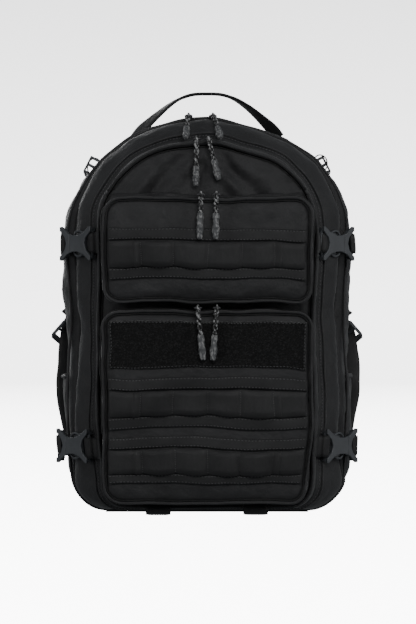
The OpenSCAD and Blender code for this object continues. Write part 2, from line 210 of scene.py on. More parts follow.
def cloth(name, dark, light, yarn=0.0011, rough=0.62, sheen=0.25, fold=0.85, ribs=None):
    """Woven cloth: a plain weave or ribs, uneven dye, rubbed lighter patches and soft folds."""
    shade = Shade(name)
    rubbed = shade.maths("MULTIPLY", shade.noise(60, 3), 0.3)
    shade.set(Base_Color=shade.ramp(shade.noise(14, 4, 0.6), (0.32, dark), (0.7, light)),
              Roughness=shade.maths("ADD", rubbed, rough - 0.15), Specular_IOR_Level=0.3,
              Sheen_Weight=sheen * 0.35, Sheen_Roughness=0.45)
    per_metre = 1 / yarn / 3.2
    if ribs:
        weave = shade.waves(ribs, per_metre)
    else:
        weave = shade.maths("MULTIPLY", shade.waves("X", per_metre), shade.waves("Z", per_metre))
    shade.bump(shade.noise(42, 4, 0.55), fold, 0.004)
    shade.bump(shade.maths("ADD", weave, shade.noise(1500)), 0.35, 0.0004)
    return shade.material


def pile(name, color):
    """Loop pile: tiny curls that swallow the light."""
    shade = Shade(name)
    curls, pick = shade.cells(900)
    shade.set(Base_Color=shade.ramp(pick, (0.55, color), (0.95, [4.5 * c for c in color])), Roughness=0.95,
              Specular_IOR_Level=0.1, Sheen_Weight=0.15)
    shade.bump(shade.maths("ADD", curls, shade.noise(160, 4)), 0.8, 0.0012)
    return shade.material


def moulded(name, color, rough):
    """Moulded plastic or painted metal with a fine texture and scuffed patches."""
    shade = Shade(name)
    wear = shade.noise(90, 5, 0.65)
    shade.set(Base_Color=shade.ramp(wear, (0.35, color), (0.75, [1.35 * c for c in color])),
              Roughness=shade.maths("ADD", shade.maths("MULTIPLY", wear, 0.25), rough - 0.1))
    shade.bump(shade.noise(1800), 0.12, 0.0003)
    return shade.material


def flecked(name, dark, pale, cut):
    """Braided cord or shrunk sleeve: dark with pale flecks."""
    shade = Shade(name, (1, 1, 0.55))
    distance, pick = shade.cells(620)
    shade.set(Base_Color=shade.ramp(pick, (cut, dark), (cut + 0.04, pale)), Roughness=0.6)
    shade.bump(distance, 0.6, 0.0006)
    return shade.material


MATERIALS = {}


def look(name):
    """The material of a name, made when it is first asked for."""
    makers = {
        "fabric": lambda: cloth(name, (0.0105, 0.0105, 0.011), (0.017, 0.017, 0.018)),
        "smooth": lambda: cloth(name, (0.012, 0.012, 0.0125), (0.019, 0.019, 0.02), fold=0.6),
        "webbing": lambda: cloth(name, (0.0068, 0.0068, 0.0072), (0.0112, 0.0112, 0.0116), 0.0014,
                                 0.6, 0.2, 0.1, "X"),
        "binding": lambda: cloth(name, (0.016, 0.016, 0.017), (0.025, 0.025, 0.026), 0.0012, 0.55,
                                 0.3, 0.1, "DIAGONAL"),
        # Black zip tape; this very dark cloth also draws the painted shade lines in seam grooves and the
        # painted shade strip down the main zip's valley.
        "tape": lambda: cloth(name, (0.005, 0.005, 0.005), (0.008, 0.008, 0.008), 0.001, 0.7, 0.1, 0.1),
        "mesh": lambda: cloth(name, (0.008, 0.008, 0.009), (0.014, 0.014, 0.015), 0.0028, 0.8, 0.3, 0.1),
        "loop": lambda: pile(name, (0.0035, 0.0035, 0.0035)),
        "buckle": lambda: moulded(name, (0.036, 0.039, 0.043), 0.48),
        "slider": lambda: moulded(name, (0.03, 0.03, 0.032), 0.4),
        "coil": lambda: moulded(name, (0.007, 0.007, 0.0075), 0.45),
        "cord": lambda: flecked(name, (0.010, 0.010, 0.010), (0.22, 0.22, 0.22), 0.66),
        "sleeve": lambda: flecked(name, (0.052, 0.054, 0.056), (0.16, 0.16, 0.16), 0.72),
        "thread": lambda: cloth(name, (0.045, 0.045, 0.046), (0.065, 0.065, 0.067), 0.0005, 0.6, 0.2, 0.1),
        "sheet": lambda: moulded(name, (0.03, 0.03, 0.03), 0.5),
        "label": lambda: cloth(name, (0.008, 0.008, 0.008), (0.012, 0.012, 0.012), 0.0008, 0.35, 0.3, 0.1),
    }
    if name not in MATERIALS:
        MATERIALS[name] = makers[name]()
    return MATERIALS[name]


# ---- outlines ----

class Outline:
    """A closed outline in X and Z with round feet and elliptical shoulders."""

    def __init__(self, hw, lo, hi, foot, shoulder, rise):
        self.hw, self.lo, self.hi = hw, lo, hi
        self.foot, self.shoulder, self.rise = foot, shoulder, rise

    def inset(self, d):
        """The outline drawn in by d, or let out where d is negative."""
        return Outline(self.hw - d, self.lo + d, self.hi - d, max(self.foot - d, 2 * MM),
                       max(self.shoulder - d, 2 * MM), max(self.rise - d, 2 * MM))

    def mixed(self, other, t):
        """An outline between this one and another."""
        pairs = zip(vars(self).values(), vars(other).values())
        return Outline(*[a + (b - a) * t for a, b in pairs])

    def width(self, z):
        """Half the outline's width at a height."""
        if z < self.lo + self.foot:
            d = self.lo + self.foot - z
            return self.hw - self.foot + math.sqrt(max(self.foot ** 2 - d * d, 0))
        d = (z - self.hi + self.rise) / self.rise
        if d <= 0:
            return self.hw
        return self.hw - self.shoulder + self.shoulder * math.sqrt(max(1 - d * d, 0))

    def top(self, x):
        """The outline's upper height at x; bottom gives the lower one."""
        d = (abs(x) - self.hw + self.shoulder) / self.shoulder
        if d <= 0:
            return self.hi
        return self.hi - self.rise + self.rise * math.sqrt(max(1 - d * d, 0))

    def bottom(self, x):
        d = (abs(x) - self.hw + self.foot) / self.foot
        if d <= 0:
            return self.lo
        return self.lo + self.foot - self.foot * math.sqrt(max(1 - d * d, 0))

    def edge(self, x, z):
        """About how far a point is from the outline."""
        return max(0.0, min(self.width(z) - abs(x), z - self.bottom(x), self.top(x) - z))

    def outward(self, x, z):
        """The direction away from the outline's middle at a point."""
        return Vector((x, 0, z - (self.lo + self.hi) / 2)).normalized()

    def points(self, n):
        """n points, evenly spaced, from the middle of the bottom round by the right."""
        half = [(0, self.lo)]
        for i in range(13):
            a = math.radians(-90 + 90 * i / 12)
            half.append((self.hw - self.foot + self.foot * math.cos(a),
                         self.lo + self.foot + self.foot * math.sin(a)))
        for i in range(41):
            a = math.radians(90 * i / 40)
            half.append((self.hw - self.shoulder + self.shoulder * math.cos(a),
                         self.hi - self.rise + self.rise * math.sin(a)))
        half.append((0, self.hi))
        loop = half + [(-x, z) for x, z in reversed(half[1:-1])]
        return even(loop + loop[:1], n + 1)[:-1]


def even(line, n):
    """n points evenly spaced along a line of tuples."""
    points = [Vector(p) for p in line]
    run = [0.0]
    for a, b in zip(points, points[1:]):
        run.append(run[-1] + (b - a).length)
    out, k = [], 0
    for i in range(n):
        at = run[-1] * i / (n - 1)
        while k < len(run) - 2 and run[k + 1] < at:
            k += 1
        span = max(run[k + 1] - run[k], 1e-9)
        out.append(tuple(points[k].lerp(points[k + 1], min(max((at - run[k]) / span, 0), 1))))
    return out


RING = 240                              # points round the front compartment's and the pockets' rings
MAIN_RING = 260                         # points round the main compartment's
ROLL = 11 * MM                          # how far the rear gusset's edge rolls in at the main zip
VALLEY = 17 * MM                        # how far the front gusset starts inside the main zip
MAIN_ZONE = ((0, -0.06, FOLD_Z - 42 * MM), (0, -0.06, FOLD_Z + 12 * MM))
FRONT_ZONE = ((0, -0.06, FOLD_Z - 26 * MM), (0, -0.06, FOLD_Z + 10 * MM))
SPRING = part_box("main_rear_gusset")[1][2]       # where the straight sides turn into the arch
FOOT = 40 * MM
MAIN = Outline(MAIN_HW, 3 * MM, MAIN_TOP, FOOT, MAIN_HW, MAIN_TOP - SPRING)
INNER = Outline(MAIN_HW - 20 * MM, 5 * MM, MAIN_TOP - 19 * MM, FOOT - 4 * MM, MAIN_HW - 20 * MM, 112 * MM)
FRONT_FOOT, FRONT_SPRING = 26 * MM, 345 * MM
FRONT = Outline(FRONT_HW, 8 * MM, FRONT_TOP + 2 * MM, FRONT_FOOT, FRONT_HW, FRONT_TOP - FRONT_SPRING)
FACE = Outline(FRONT_HW - 4 * MM, 10 * MM, FRONT_TOP - 3 * MM, FRONT_FOOT, FRONT_HW - 4 * MM, 90 * MM)
CORNER = 20 * MM                        # of the pockets
UPPER = Outline(POCKET_HW, upper_lo[2], upper_hi[2], CORNER, CORNER, CORNER)
LOWER = Outline(POCKET_HW, lower_lo[2], lower_hi[2], CORNER, CORNER, CORNER)


# ---- mesh building ----

def add(name, verts, faces, material):
    """A new smooth mesh piece."""
    mesh = bpy.data.meshes.new(name)
    mesh.from_pydata([tuple(v) for v in verts], [], faces)
    mesh.validate()
    mesh.polygons.foreach_set("use_smooth", [True] * len(mesh.polygons))
    mesh.materials.append(look(material))
    return placed(name, mesh)


SOFT = ("fabric", "webbing", "loop", "zip", "label", "mesh")


def settle(obj):
    """Moves soft goods by one smooth field, so that neighbours sag and lean together."""
    for v in obj.data.vertices:
        p = v.co
        firm = min(max(p.z / (30 * MM), 0), 1)
        broad = noise.noise_vector(p * 11 + Vector((3.1, 7.7, 1.3)))
        small = noise.noise_vector(p * 31 + Vector((9.2, 0.4, 5.5)))
        drawn = 0.042 * min(max((125 * MM - p.z) / (125 * MM), 0), 1) ** 1.3
        v.co = p + (broad * 4.6 * MM + small * 1.7 * MM) * firm - Vector((p.x * drawn, 0, 0))
    obj.data.update()


def on(obj, body, slot, *nodes):
    """obj rides on a body. It replaces the nodes that are named; an empty one stands for none."""
    if slot in SOFT:
        settle(obj)
    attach(obj, body)
    replaced = [node for node in nodes if node]
    if replaced:
        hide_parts(*replaced)
    return obj


def bends(obj, slot, a, b, zone, *replaced):
    """obj crosses a fold: it is settled, its place is baked into its mesh and the replaced nodes are hidden.
    slot, a, b and zone are not used.
    """
    settle(obj)
    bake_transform(obj)
    if replaced:
        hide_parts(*replaced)
    return obj


def grid_faces(rows, cols, closed=False):
    """Faces of rows of points; closed joins each row's end to its start."""
    span = cols if closed else cols - 1
    return [(r * cols + c, r * cols + (c + 1) % cols, (r + 1) * cols + (c + 1) % cols, (r + 1) * cols + c)
            for r in range(rows - 1) for c in range(span)]


def tube_faces(rows, sides):
    """Faces round rows of points, with a cap at each end."""
    caps = [tuple(range(sides))[::-1], tuple(range((rows - 1) * sides, rows * sides))]
    return grid_faces(rows, sides, True) + caps


def heading(line, i):
    """The direction of a line of points at one of them."""
    return (line[min(i + 1, len(line) - 1)] - line[max(i - 1, 0)]).normalized()


def square(side, direction):
    """The direction nearest to side that is square to another one."""
    side = Vector(side)
    return (side - direction * direction.dot(side)).normalized()


def shell_faces(rows, cols):
    """Faces of two layers of rows of points, the second behind the first, closed round their rim."""
    size = rows * cols
    faces = grid_faces(rows, cols)
    faces += [tuple(size + i for i in f) for f in faces]
    rim = [(r * cols + c, (r + 1) * cols + c) for r in range(rows - 1) for c in (0, cols - 1)]
    rim += [(r * cols + c, r * cols + c + 1) for r in (0, rows - 1) for c in range(cols - 1)]
    return faces + [(a, b, b + size, a + size) for a, b in rim]


def ripple(x, y, z, scale, seed):
    """Smooth noise between about -1 and 1, another one for each seed."""
    return noise.noise(Vector((x * scale + seed * 7.3, y * scale - seed * 3.1, z * scale + seed)))


def loft(name, stations, material, n, wrinkle, seed, keep=None):
    """A wall through (y, outline, and how far the sides sink) stations. keep is the heights it covers."""
    loops = []
    for k, (y, outline, *sunk) in enumerate(stations):
        fade = math.sin(math.pi * k / (len(stations) - 1)) if len(stations) > 2 else 0
        row = []
        for x, z in outline.points(n):
            out = outline.outward(x, z)
            d = wrinkle * fade * (ripple(x, y * 0.4, z, 32, seed) + 0.5 * ripple(x, y, z, 85, seed + 3))
            if sunk:
                d -= sunk[0](z)
            row.append((x + out.x * d, y, max(z + out.z * d, 0.4 * MM)))
        loops.append(row)
    verts = [v for row in loops for v in row]
    faces = grid_faces(len(loops), n, True)
    if keep:
        faces = [f for f in faces if keep[0] <= sum(verts[i][2] for i in f) / 4 <= keep[1]]
    return thick(tidy(add(name, verts, faces, material)), 1.6 * MM)


def ease(value, low, high):
    """0 up to low, 1 from high on, and smooth between them."""
    t = min(max((value - low) / (high - low), 0), 1)
    return t * t * (3 - 2 * t)


def valley(z):
    """How far the main zip's valley is open at a height: wide low down, narrow in the arch."""
    arch, low, foot = ease(z, 300 * MM, 450 * MM), ease(-z, -280 * MM, -200 * MM), ease(z, 25 * MM, 85 * MM)
    return (1 - 0.78 * arch) * (1 + 0.2 * low) * (0.1 + 0.9 * foot)


def belly(z):
    """How far the rear gusset swells: between the side pocket and the arch."""
    return ease(z, 175 * MM, 225 * MM) * (1 - 0.8 * ease(z, 315 * MM, 420 * MM))


def tidy(obj):
    """Drops points that no face uses, and turns the faces outward."""
    bm = bmesh.new()
    bm.from_mesh(obj.data)
    bmesh.ops.delete(bm, geom=[v for v in bm.verts if not v.link_faces], context="VERTS")
    bmesh.ops.recalc_face_normals(bm, faces=bm.faces)
    bm.to_mesh(obj.data)
    bm.free()
    return obj


def thick(obj, t, offset=-1):
    """Gives a skin its thickness: inward, outward (offset 1) or both ways (0)."""
    m = obj.modifiers.new("thickness", "SOLIDIFY")
    m.thickness, m.offset, m.use_even_offset = t, offset, False
    return applied(obj)


def applied(obj):
    """Applies every modifier, so that the piece is a plain mesh."""
    evaluated = obj.evaluated_get(bpy.context.evaluated_depsgraph_get())
    mesh = bpy.data.meshes.new_from_object(evaluated)
    obj.modifiers.clear()
    obj.data = mesh
    return obj


def panel(name, outline, y_edge, crown, material, seed, cols=90, rows=90, rise=9 * MM,
          fold=2.2 * MM, keep=None, dents=None):
    """A crowned front face. Its fabric draws in at the seam and lies in soft folds."""
    lo, hi = keep or (outline.lo, outline.hi)
    verts = []
    for r in range(rows):
        t = r / (rows - 1)
        z = lo + (hi - lo) * (0.5 - 0.5 * math.cos(math.pi * t)) if not keep else lo + (hi - lo) * t
        w = outline.width(min(max(z, outline.lo + 1e-5), outline.hi - 1e-5))
        for c in range(cols):
            x = w * math.sin(math.pi / 2 * (2 * c / (cols - 1) - 1))
            d = outline.edge(x, z)
            free = 1 - math.exp(-d / rise)
            near = math.exp(-d / (2.2 * rise)) * free
            y = y_edge - crown * free
            y -= fold * free * ripple(x, 0, z, 17, seed) + 0.8 * fold * near * ripple(x, 0, z, 75, seed + 5)
            if dents:
                y += dents(x, z) * free
            verts.append((x, y, z))
    return tidy(add(name, verts, grid_faces(rows, cols), material))


def tube(name, path, radius, material, sides=8, closed=False, radii=None):
    """A round tube along points. radii gives it another radius at each of them."""
    p = [Vector(v) for v in path]
    n = len(p)
    verts, side = [], None
    for i in range(n):
        a = p[(i - 1) % n] if closed or i > 0 else p[i]
        b = p[(i + 1) % n] if closed or i < n - 1 else p[i]
        t = (b - a).normalized()
        side = square(side or t.orthogonal(), t)
        u = t.cross(side)
        r = radii[i] if radii else radius
        for k in range(sides):
            ang = 2 * math.pi * k / sides
            verts.append(p[i] + side * r * math.cos(ang) + u * r * math.sin(ang))
    if closed:
        last = (n - 1) * sides
        faces = grid_faces(n, sides, True)
        faces += [(last + k, last + (k + 1) % sides, (k + 1) % sides, k) for k in range(sides)]
    else:
        faces = tube_faces(n, sides)
    return tidy(add(name, verts, faces, material))


def join(name, parts):
    """Joins pieces into one mesh, keeping their materials."""
    bm = bmesh.new()
    mats = []
    for part in parts:
        index = []
        for m in part.data.materials:
            if m not in mats:
                mats.append(m)
            index.append(mats.index(m))
        before = len(bm.faces)
        part.data.transform(part.matrix_world)
        bm.from_mesh(part.data)
        bm.faces.ensure_lookup_table()
        for f in bm.faces[before:]:
            f.material_index = index[f.material_index] if index else 0
    mesh = bpy.data.meshes.new(name)
    bm.to_mesh(mesh)
    bm.free()
    for m in mats:
        mesh.materials.append(m)
    for part in parts:
        bpy.data.objects.remove(part)
    return placed(name, mesh)


def at_y(outline, y, n):
    """n points round an outline, at a depth."""
    return [(x, y, z) for x, z in outline.points(n)]


def run_where(points, inside):
    """The one run of a ring's points that pass a test, in order."""
    start = next(i for i, p in enumerate(points) if not inside(p))
    return [p for p in points[start:] + points[:start] if inside(p)]


def stitches(name, path, normal, long=2.6 * MM, gap=1.3 * MM, r=0.45 * MM):
    """A run of short thread stitches along points, lifted along normal."""
    total = sum((Vector(b) - Vector(a)).length for a, b in zip(path, path[1:]))
    count = max(2, int(total / (long + gap)))
    spots = even(path, count * 3 + 1)
    verts, faces = [], []
    for i in range(count):
        a, b = Vector(spots[3 * i]), Vector(spots[3 * i + 2])
        t = (b - a).normalized()
        u = (Vector(normal) - t * t.dot(Vector(normal))).normalized()
        s = t.cross(u)
        base = len(verts)
        for q, k in ((a, 0.15), (a.lerp(b, 0.25), 1), (a.lerp(b, 0.75), 1), (b, 0.15)):
            for du, ds in ((k, 0), (0, k), (-0.4, 0), (0, -k)):
                verts.append(q + u * r * du + s * r * ds)
        for ring in range(3):
            for k in range(4):
                faces.append((base + ring * 4 + k, base + ring * 4 + (k + 1) % 4,
                              base + ring * 4 + 4 + (k + 1) % 4, base + ring * 4 + 4 + k))
    return tidy(add(name, verts, faces, "thread"))


def strap_ring(q, s, u, width, t, cols):
    """A strap's section round q: its width along s, its thickness along u, its edges rolled."""
    spots = [-1 + 2 * k / (cols - 1) for k in range(cols)]
    around = [(a, 1) for a in spots] + [(a, -1) for a in reversed(spots)]
    return [q + s * a * width / 2 + u * (face * t / 2 * math.sqrt(max(1 - abs(a) ** 6, 0.06)))
            for a, face in around]


def strip(name, path, side, width, t, material, cols=7, wave=0.0, seed=2):
    """A flat strap along points, with rolled edges and slight waves."""
    p = [Vector(v) for v in path]
    verts = []
    for i, q in enumerate(p):
        d = heading(p, i)
        s = square(side, d)
        u = d.cross(s)
        verts += strap_ring(q + u * (wave * ripple(q.x, q.y, q.z, 40, seed)), s, u, width, t, cols)
    return tidy(add(name, verts, tube_faces(len(p), 2 * cols), material))


def turned(obj, *moves):
    """Applies moves to a mesh, the last one first."""
    m = Matrix.Identity(4)
    for move in moves:
        m = m @ move
    obj.data.transform(m)
    return obj


def shift(x, y, z):
    """A move in mm."""
    return Matrix.Translation((x * MM, y * MM, z * MM))


def turn(angle, axis):
    """A turn in degrees."""
    return Matrix.Rotation(math.radians(angle), 4, axis)


def curve(points, n):
    """A smooth line of n points through the given ones."""
    p = [Vector(v) for v in points]
    out = []
    for i in range(len(p) - 1):
        a, b, c, d = p[max(i - 1, 0)], p[i], p[i + 1], p[min(i + 2, len(p) - 1)]
        for k in range(12):
            t = k / 12
            out.append(0.5 * (2 * b + (c - a) * t + (2 * a - 5 * b + 4 * c - d) * t * t
                              + (3 * b - a - 3 * c + d) * t ** 3))
    out.append(p[-1])
    return [Vector(v) for v in even([tuple(v) for v in out], n)]


# ---- main compartment ----

def gusset_sink(t, z):
    """How far the front gusset lies inside its plain outline. t runs from the main zip to the front."""
    return (VALLEY * math.exp(-t / 0.4) - 2 * MM * math.sin(math.pi * t)) * valley(z)


def gusset_ring(t, lift, start, end):
    """Points round the front gusset at t, lifted off it."""
    outline = MAIN.mixed(FRONT, t ** 1.7)
    ring = []
    for x, z in outline.points(MAIN_RING):
        out = outline.outward(x, z)
        ring.append(Vector((x, start + (end - start) * t, z)) + out * (lift - gusset_sink(t, z)))
    return ring


def main_compartment():
    """The rear gusset, the front gusset that crosses the arch's fold, the zip and the back."""
    stations = []
    for k in range(25):
        t = k / 24
        edge = 3 * math.exp(-t / 0.08) * MM
        roll, swell = ROLL * math.exp(-(1 - t) / 0.09), 7 * MM * math.sin(math.pi * t)
        stations.append((BACK_Y + (ZIP_Y - BACK_Y) * t, MAIN.inset(edge),
                         lambda z, roll=roll, swell=swell: roll * valley(z) - swell * belly(z)))
    rear = loft("rear_gusset", stations, "fabric", MAIN_RING, 3.4 * MM, 4)
    on(rear, "pack", "fabric", "main_rear_gusset", "main_rear_arch")
    start, end = ZIP_Y - 6 * MM, FRONT_ZIP_Y
    stations = []
    for k in range(17):
        t = k / 16
        stations.append((start + (end - start) * t, MAIN.mixed(FRONT, t ** 1.7),
                         lambda z, t=t: gusset_sink(t, z)))
    front = loft("front_gusset_main", stations, "smooth", MAIN_RING, 2.4 * MM, 9)
    bends(front, "fabric", "pack", "main_top", MAIN_ZONE, "main_front_gusset", "main_top_gusset",
          "front_gusset", "front_top_gusset")
    # The zip's tape, carried down the valley's wall as a very dark strip: real tape at the chain, and
    # painted shade standing in for the valley's shadow below it.
    stations = []
    for k in range(4):
        stations.append((ZIP_Y - (1 + 5 * k / 3) * MM, MAIN,
                         lambda z, k=k: (ROLL + (VALLEY - ROLL) * k / 3) * valley(z)))
    tape = loft("zip_tape_main", stations, "tape", MAIN_RING, 0.6 * MM, 12)
    bends(tape, "zip", "pack", "main_top", MAIN_ZONE)
    # The first tube is a very dark line of painted shade along the valley's floor; the second is the
    # gusset's ridge.
    for name, at, lift, r, material in (("valley_painted_shade_line", 0.02, 0.4, 1.3, "tape"),
                                        ("gusset_ridge", 0.86, 1.4, 1.2, "smooth")):
        bends(tube(name, gusset_ring(at, lift * MM, start, end), r * MM, material, 8, True), "fabric",
              "pack", "main_top", MAIN_ZONE)
    dots = stitches("gusset_seam", gusset_ring(0.93, 1.6 * MM, start, end), (0, -1, 0))
    bends(dots, "fabric", "pack", "main_top", MAIN_ZONE)
    for name, y, outline in (("rear_piping", ZIP_Y + 9 * MM, MAIN.inset(-0.4 * MM)),
                             ("back_piping", BACK_Y - 2 * MM, MAIN.inset(2 * MM))):
        on(tube(name, at_y(outline, y, MAIN_RING), 1.7 * MM, "binding", 8, True), "pack", "fabric")
    ring = []
    for x, y, z in at_y(MAIN, ZIP_Y - 4.5 * MM, 700):
        inward = MAIN.outward(x, z) * -(VALLEY - 2 * MM) * valley(z)
        ring.append((x + inward.x, y, z + inward.z))
    on(zip_chain("main_zip", ring, True), "pack", "zip", "zipper_chains")
    on(face_plate("inner_wall_top", INNER, WALL_Y + 2 * MM, (FOLD_Z, INNER.hi)), "main_top", "fabric",
       "main_top_wall")
    on(face_plate("inner_wall", INNER, WALL_Y + 2 * MM, (INNER.lo, FOLD_Z)), "pack", "fabric",
       "divider_panel")
    back = face_plate("back_skin", MAIN.inset(2 * MM), BACK_Y + 3 * MM, None, 1)
    on(back, "pack", "fabric", "back_panel")


def face_plate(name, outline, y, keep, toward=-1):
    """A thin flat wall that fills an outline."""
    inner = outline.inset(3 * MM)
    return thick(panel(name, inner, y, 0, "fabric", 3, 50, 50, keep=keep, fold=0), 1.4 * MM, toward)


def zip_chain(name, path, closed=False):
    """A coil of teeth on its tape. The path has one point for each half tooth."""
    radii = [(1.15 + 0.5 * (k % 2)) * MM for k in range(len(path))]
    coil = tube(name + "_coil", path, 1.5 * MM, "coil", 6, closed, radii=radii)
    tape = tube(name + "_tape", path[::4], 1.9 * MM, "tape", 8, closed)
    return join(name, [coil, tape])


# ---- front compartment ----

def front_compartment():
    """Its gusset, bending over the fold, and its face in a lower part and an arch top."""
    chain = at_y(FRONT.inset(3.4 * MM), FRONT_ZIP_Y - 2.1 * MM, 640)
    bends(zip_chain("front_zip", chain, True), "zip", "pack", "main_top", FRONT_ZONE)
    tape = loft("front_zip_tape", [(FRONT_ZIP_Y + (2 - 8.5 * k / 3) * MM, FRONT.inset(5.4 * MM))
                                   for k in range(4)], "tape", RING, 0, 12)
    bends(tape, "zip", "pack", "main_top", FRONT_ZONE)
    for low, high, body, node, tag in ((FRONT.lo, FOLD_Z, "pack", "front_panel", "lower"),
                                       (FOLD_Z, FRONT.hi + 1, "front_top", "front_top_panel", "top")):
        y0 = FRONT_ZIP_Y - 4.2 * MM
        stations = []
        for k in range(6):
            t = k / 5
            outline = FRONT.mixed(FACE, t).inset(-1.5 * MM * math.sin(math.pi * t))
            stations.append((y0 + (FACE_Y + 3 * MM - y0) * t, outline))
        rim = loft("front_rim_" + tag, stations, "smooth", RING, 1.2 * MM, 15, (low, high))
        on(rim, body, "fabric")
        face = panel("front_face_" + tag, FACE.inset(3 * MM), FACE_Y + 5 * MM, 8 * MM, "fabric", 21,
                     150, 80 if tag == "top" else 60, 14 * MM, 4 * MM,
                     (max(low, FACE.lo + 3 * MM), min(high, FACE.hi - 3.2 * MM)), slack_folds)
        on(thick(face, 1.4 * MM), body, "fabric", node)
        # The second tube is a thin, very dark line of painted shade for the shadow in the seam's groove.
        for line, inset, back, r, material, sides in (("front_piping_", -1.2, 2.5, 1.5, "smooth", 10),
                                                      ("front_groove_", 3.4, 3.5, 0.7, "tape", 8)):
            ring = at_y(FACE.inset(inset * MM), FACE_Y + back * MM, RING)
            run = run_where(ring, lambda p, low=low, high=high: low <= p[2] <= high)
            on(tube(line + tag, run, r * MM, material, sides), body, "fabric")


FOLDS = [   # soft creases in the front face: two ends (x, z), how deep and how broad, in mm
    ((-70, 372), (-14, 436), 5.5, 10), ((-38, 372), (-8, 412), 4.5, 8), ((64, 372), (12, 430), 6, 9),
    ((34, 372), (8, 398), 4, 7), ((-112, 376), (-70, 416), 4.5, 11), ((112, 378), (58, 424), 4.5, 11),
]


def slack_folds(x, z):
    """How far the front face sinks at a point, from the creases that run up to its zip."""
    sink = 0
    for (x0, z0), (x1, z1), deep, broad in FOLDS:
        ax, az, bx, bz = x0 * MM, z0 * MM, (x1 - x0) * MM, (z1 - z0) * MM
        t = min(max(((x - ax) * bx + (z - az) * bz) / (bx * bx + bz * bz), 0), 1)
        off = math.hypot(x - ax - bx * t, z - az - bz * t)
        sink += 1.5 * deep * MM * math.exp(-(off / (broad * MM)) ** 2) * (0.7 + ripple(x, 0, z, 30, 8))
    return sink


# ---- pockets ----

def pocket(tag, outline, zip_y, y, fold_z, shell, flap, crown):
    """A zipped pocket: rear gusset, zip, and a front that crosses its fold."""
    def wall(k, count, a, b, swell):
        t = k / count
        return (a + (b - a) * t, outline.inset(-swell * math.sin(math.pi * t) + 1.5 * MM))
    rear = loft(tag + "_gusset", [wall(k, 6, FACE_Y - 1 * MM, zip_y + 2.5 * MM, 1.6 * MM)
                                  for k in range(7)], "smooth", 200, 2.2 * MM, 31 + len(tag))
    on(rear, "pack", "fabric", shell)
    zone = ((0, y, fold_z - 9 * MM), (0, y, fold_z + 9 * MM))
    body = tag + "_flap"
    stations = [wall(k, 6, zip_y - 2.2 * MM, y + 4 * MM, 1.8 * MM) for k in range(7)]
    stations += [(y + 5.2 * MM, outline.inset(3.2 * MM)), (y + 5.8 * MM, outline.inset(7 * MM))]
    side = loft(tag + "_side", stations, "smooth", 200, 1.6 * MM, 35 + len(tag))
    face = panel(tag + "_face", outline.inset(5 * MM), y + 5 * MM, crown, "fabric", 41 + len(tag),
                 120, 100, 6 * MM, 1.8 * MM)
    thick(face, 1.4 * MM)
    ring = at_y(outline.inset(1 * MM), y + 3 * MM, RING)
    piping = tube(tag + "_piping", ring, 1.6 * MM, "smooth", 10, True)
    # A thin, very dark tube inside the piping: painted shade for the shadow in the seam's groove.
    ring = at_y(outline.inset(4.2 * MM), y + 3 * MM, RING)
    painted_groove_shade = tube(tag + "_groove", ring, 0.65 * MM, "tape", 8, True)
    ring = at_y(outline.inset(0.5 * MM), FACE_Y - 1 * MM, RING)
    foot_seam = tube(tag + "_foot_seam", ring, 1.1 * MM, "smooth", 8, True)
    on(foot_seam, "pack", "fabric")
    for piece in (side, face, piping, painted_groove_shade):
        bends(piece, "fabric", "pack", body, zone)
    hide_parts(flap)
    tape = loft(tag + "_zip_tape", [(zip_y + (4 - 7.5 * k / 3) * MM, outline.inset(3.4 * MM))
                                    for k in range(4)], "tape", RING, 0, 12)
    on(tape, "pack", "zip")
    chain = run_where(at_y(outline.inset(-0.2 * MM), zip_y, 560), lambda p: p[2] >= fold_z)
    on(zip_chain(tag + "_zip", chain), "pack", "zip")


def modular_row(name, y, z0, height, body, bands, node):
    """A webbing row that bulges between its tacks, with sewn bands above and below."""
    half = POCKET_HW - 8 * MM
    parts = []
    n = 180
    verts = []
    lines = [0, 0.04, 0.25, 0.5, 0.75, 0.96, 1]
    for back in (0, 1):
        for v in lines:
            for k in range(n):
                x = -half + 2 * half * k / (n - 1)
                cell = abs(math.sin(math.pi * ((x / PITCH) % 1) ** 1.35))
                inner = abs(x) < 2.2 * PITCH
                slack = (6 + 3 * ripple(x, 0, z0, 14, 3)) * (1 if inner else 0.4) * MM
                rise = 0.7 * MM + slack * cell ** 0.6
                edge = 1 if 0 < v < 1 else 0.7
                droop = (1.9 * (1 - v) + 0.7 * v) * MM * cell * (1 if inner else 0.3)
                out = rise * edge + (0 if back else 1.3 * MM * edge)
                verts.append((x, y - out, z0 + v * height - droop))
    parts.append(tidy(add(name + "_web", verts, shell_faces(len(lines), n), "webbing")))
    for i in range(-2, 3):
        x = i * PITCH
        line = [(x, y - 2.2 * MM, z0 + 1.5 * MM), (x, y - 2.2 * MM, z0 + height - 1.5 * MM)]
        parts.append(stitches(name + "_tack", line, (0, -1, 0), 1.5 * MM, 0.9 * MM, 0.75 * MM))
    for low, tall in bands:
        path = [(-half - 1 * MM, y - 0.8 * MM, low + tall / 2), (0, y - 0.9 * MM, low + tall / 2),
                (half + 1 * MM, y - 0.8 * MM, low + tall / 2)]
        parts.append(strip(name + "_band", curve(path, 60), (0, 0, 1), tall, 1.5 * MM, "webbing", 9,
                           0.5 * MM, 5))
        for z in (low + 1.8 * MM, low + tall - 1.8 * MM):
            parts.append(stitches(name + "_seam", [(-half, y - 1.7 * MM, z), (half, y - 1.7 * MM, z)],
                                  (0, -1, 0)))
    on(join(name, parts), body, "webbing", node)


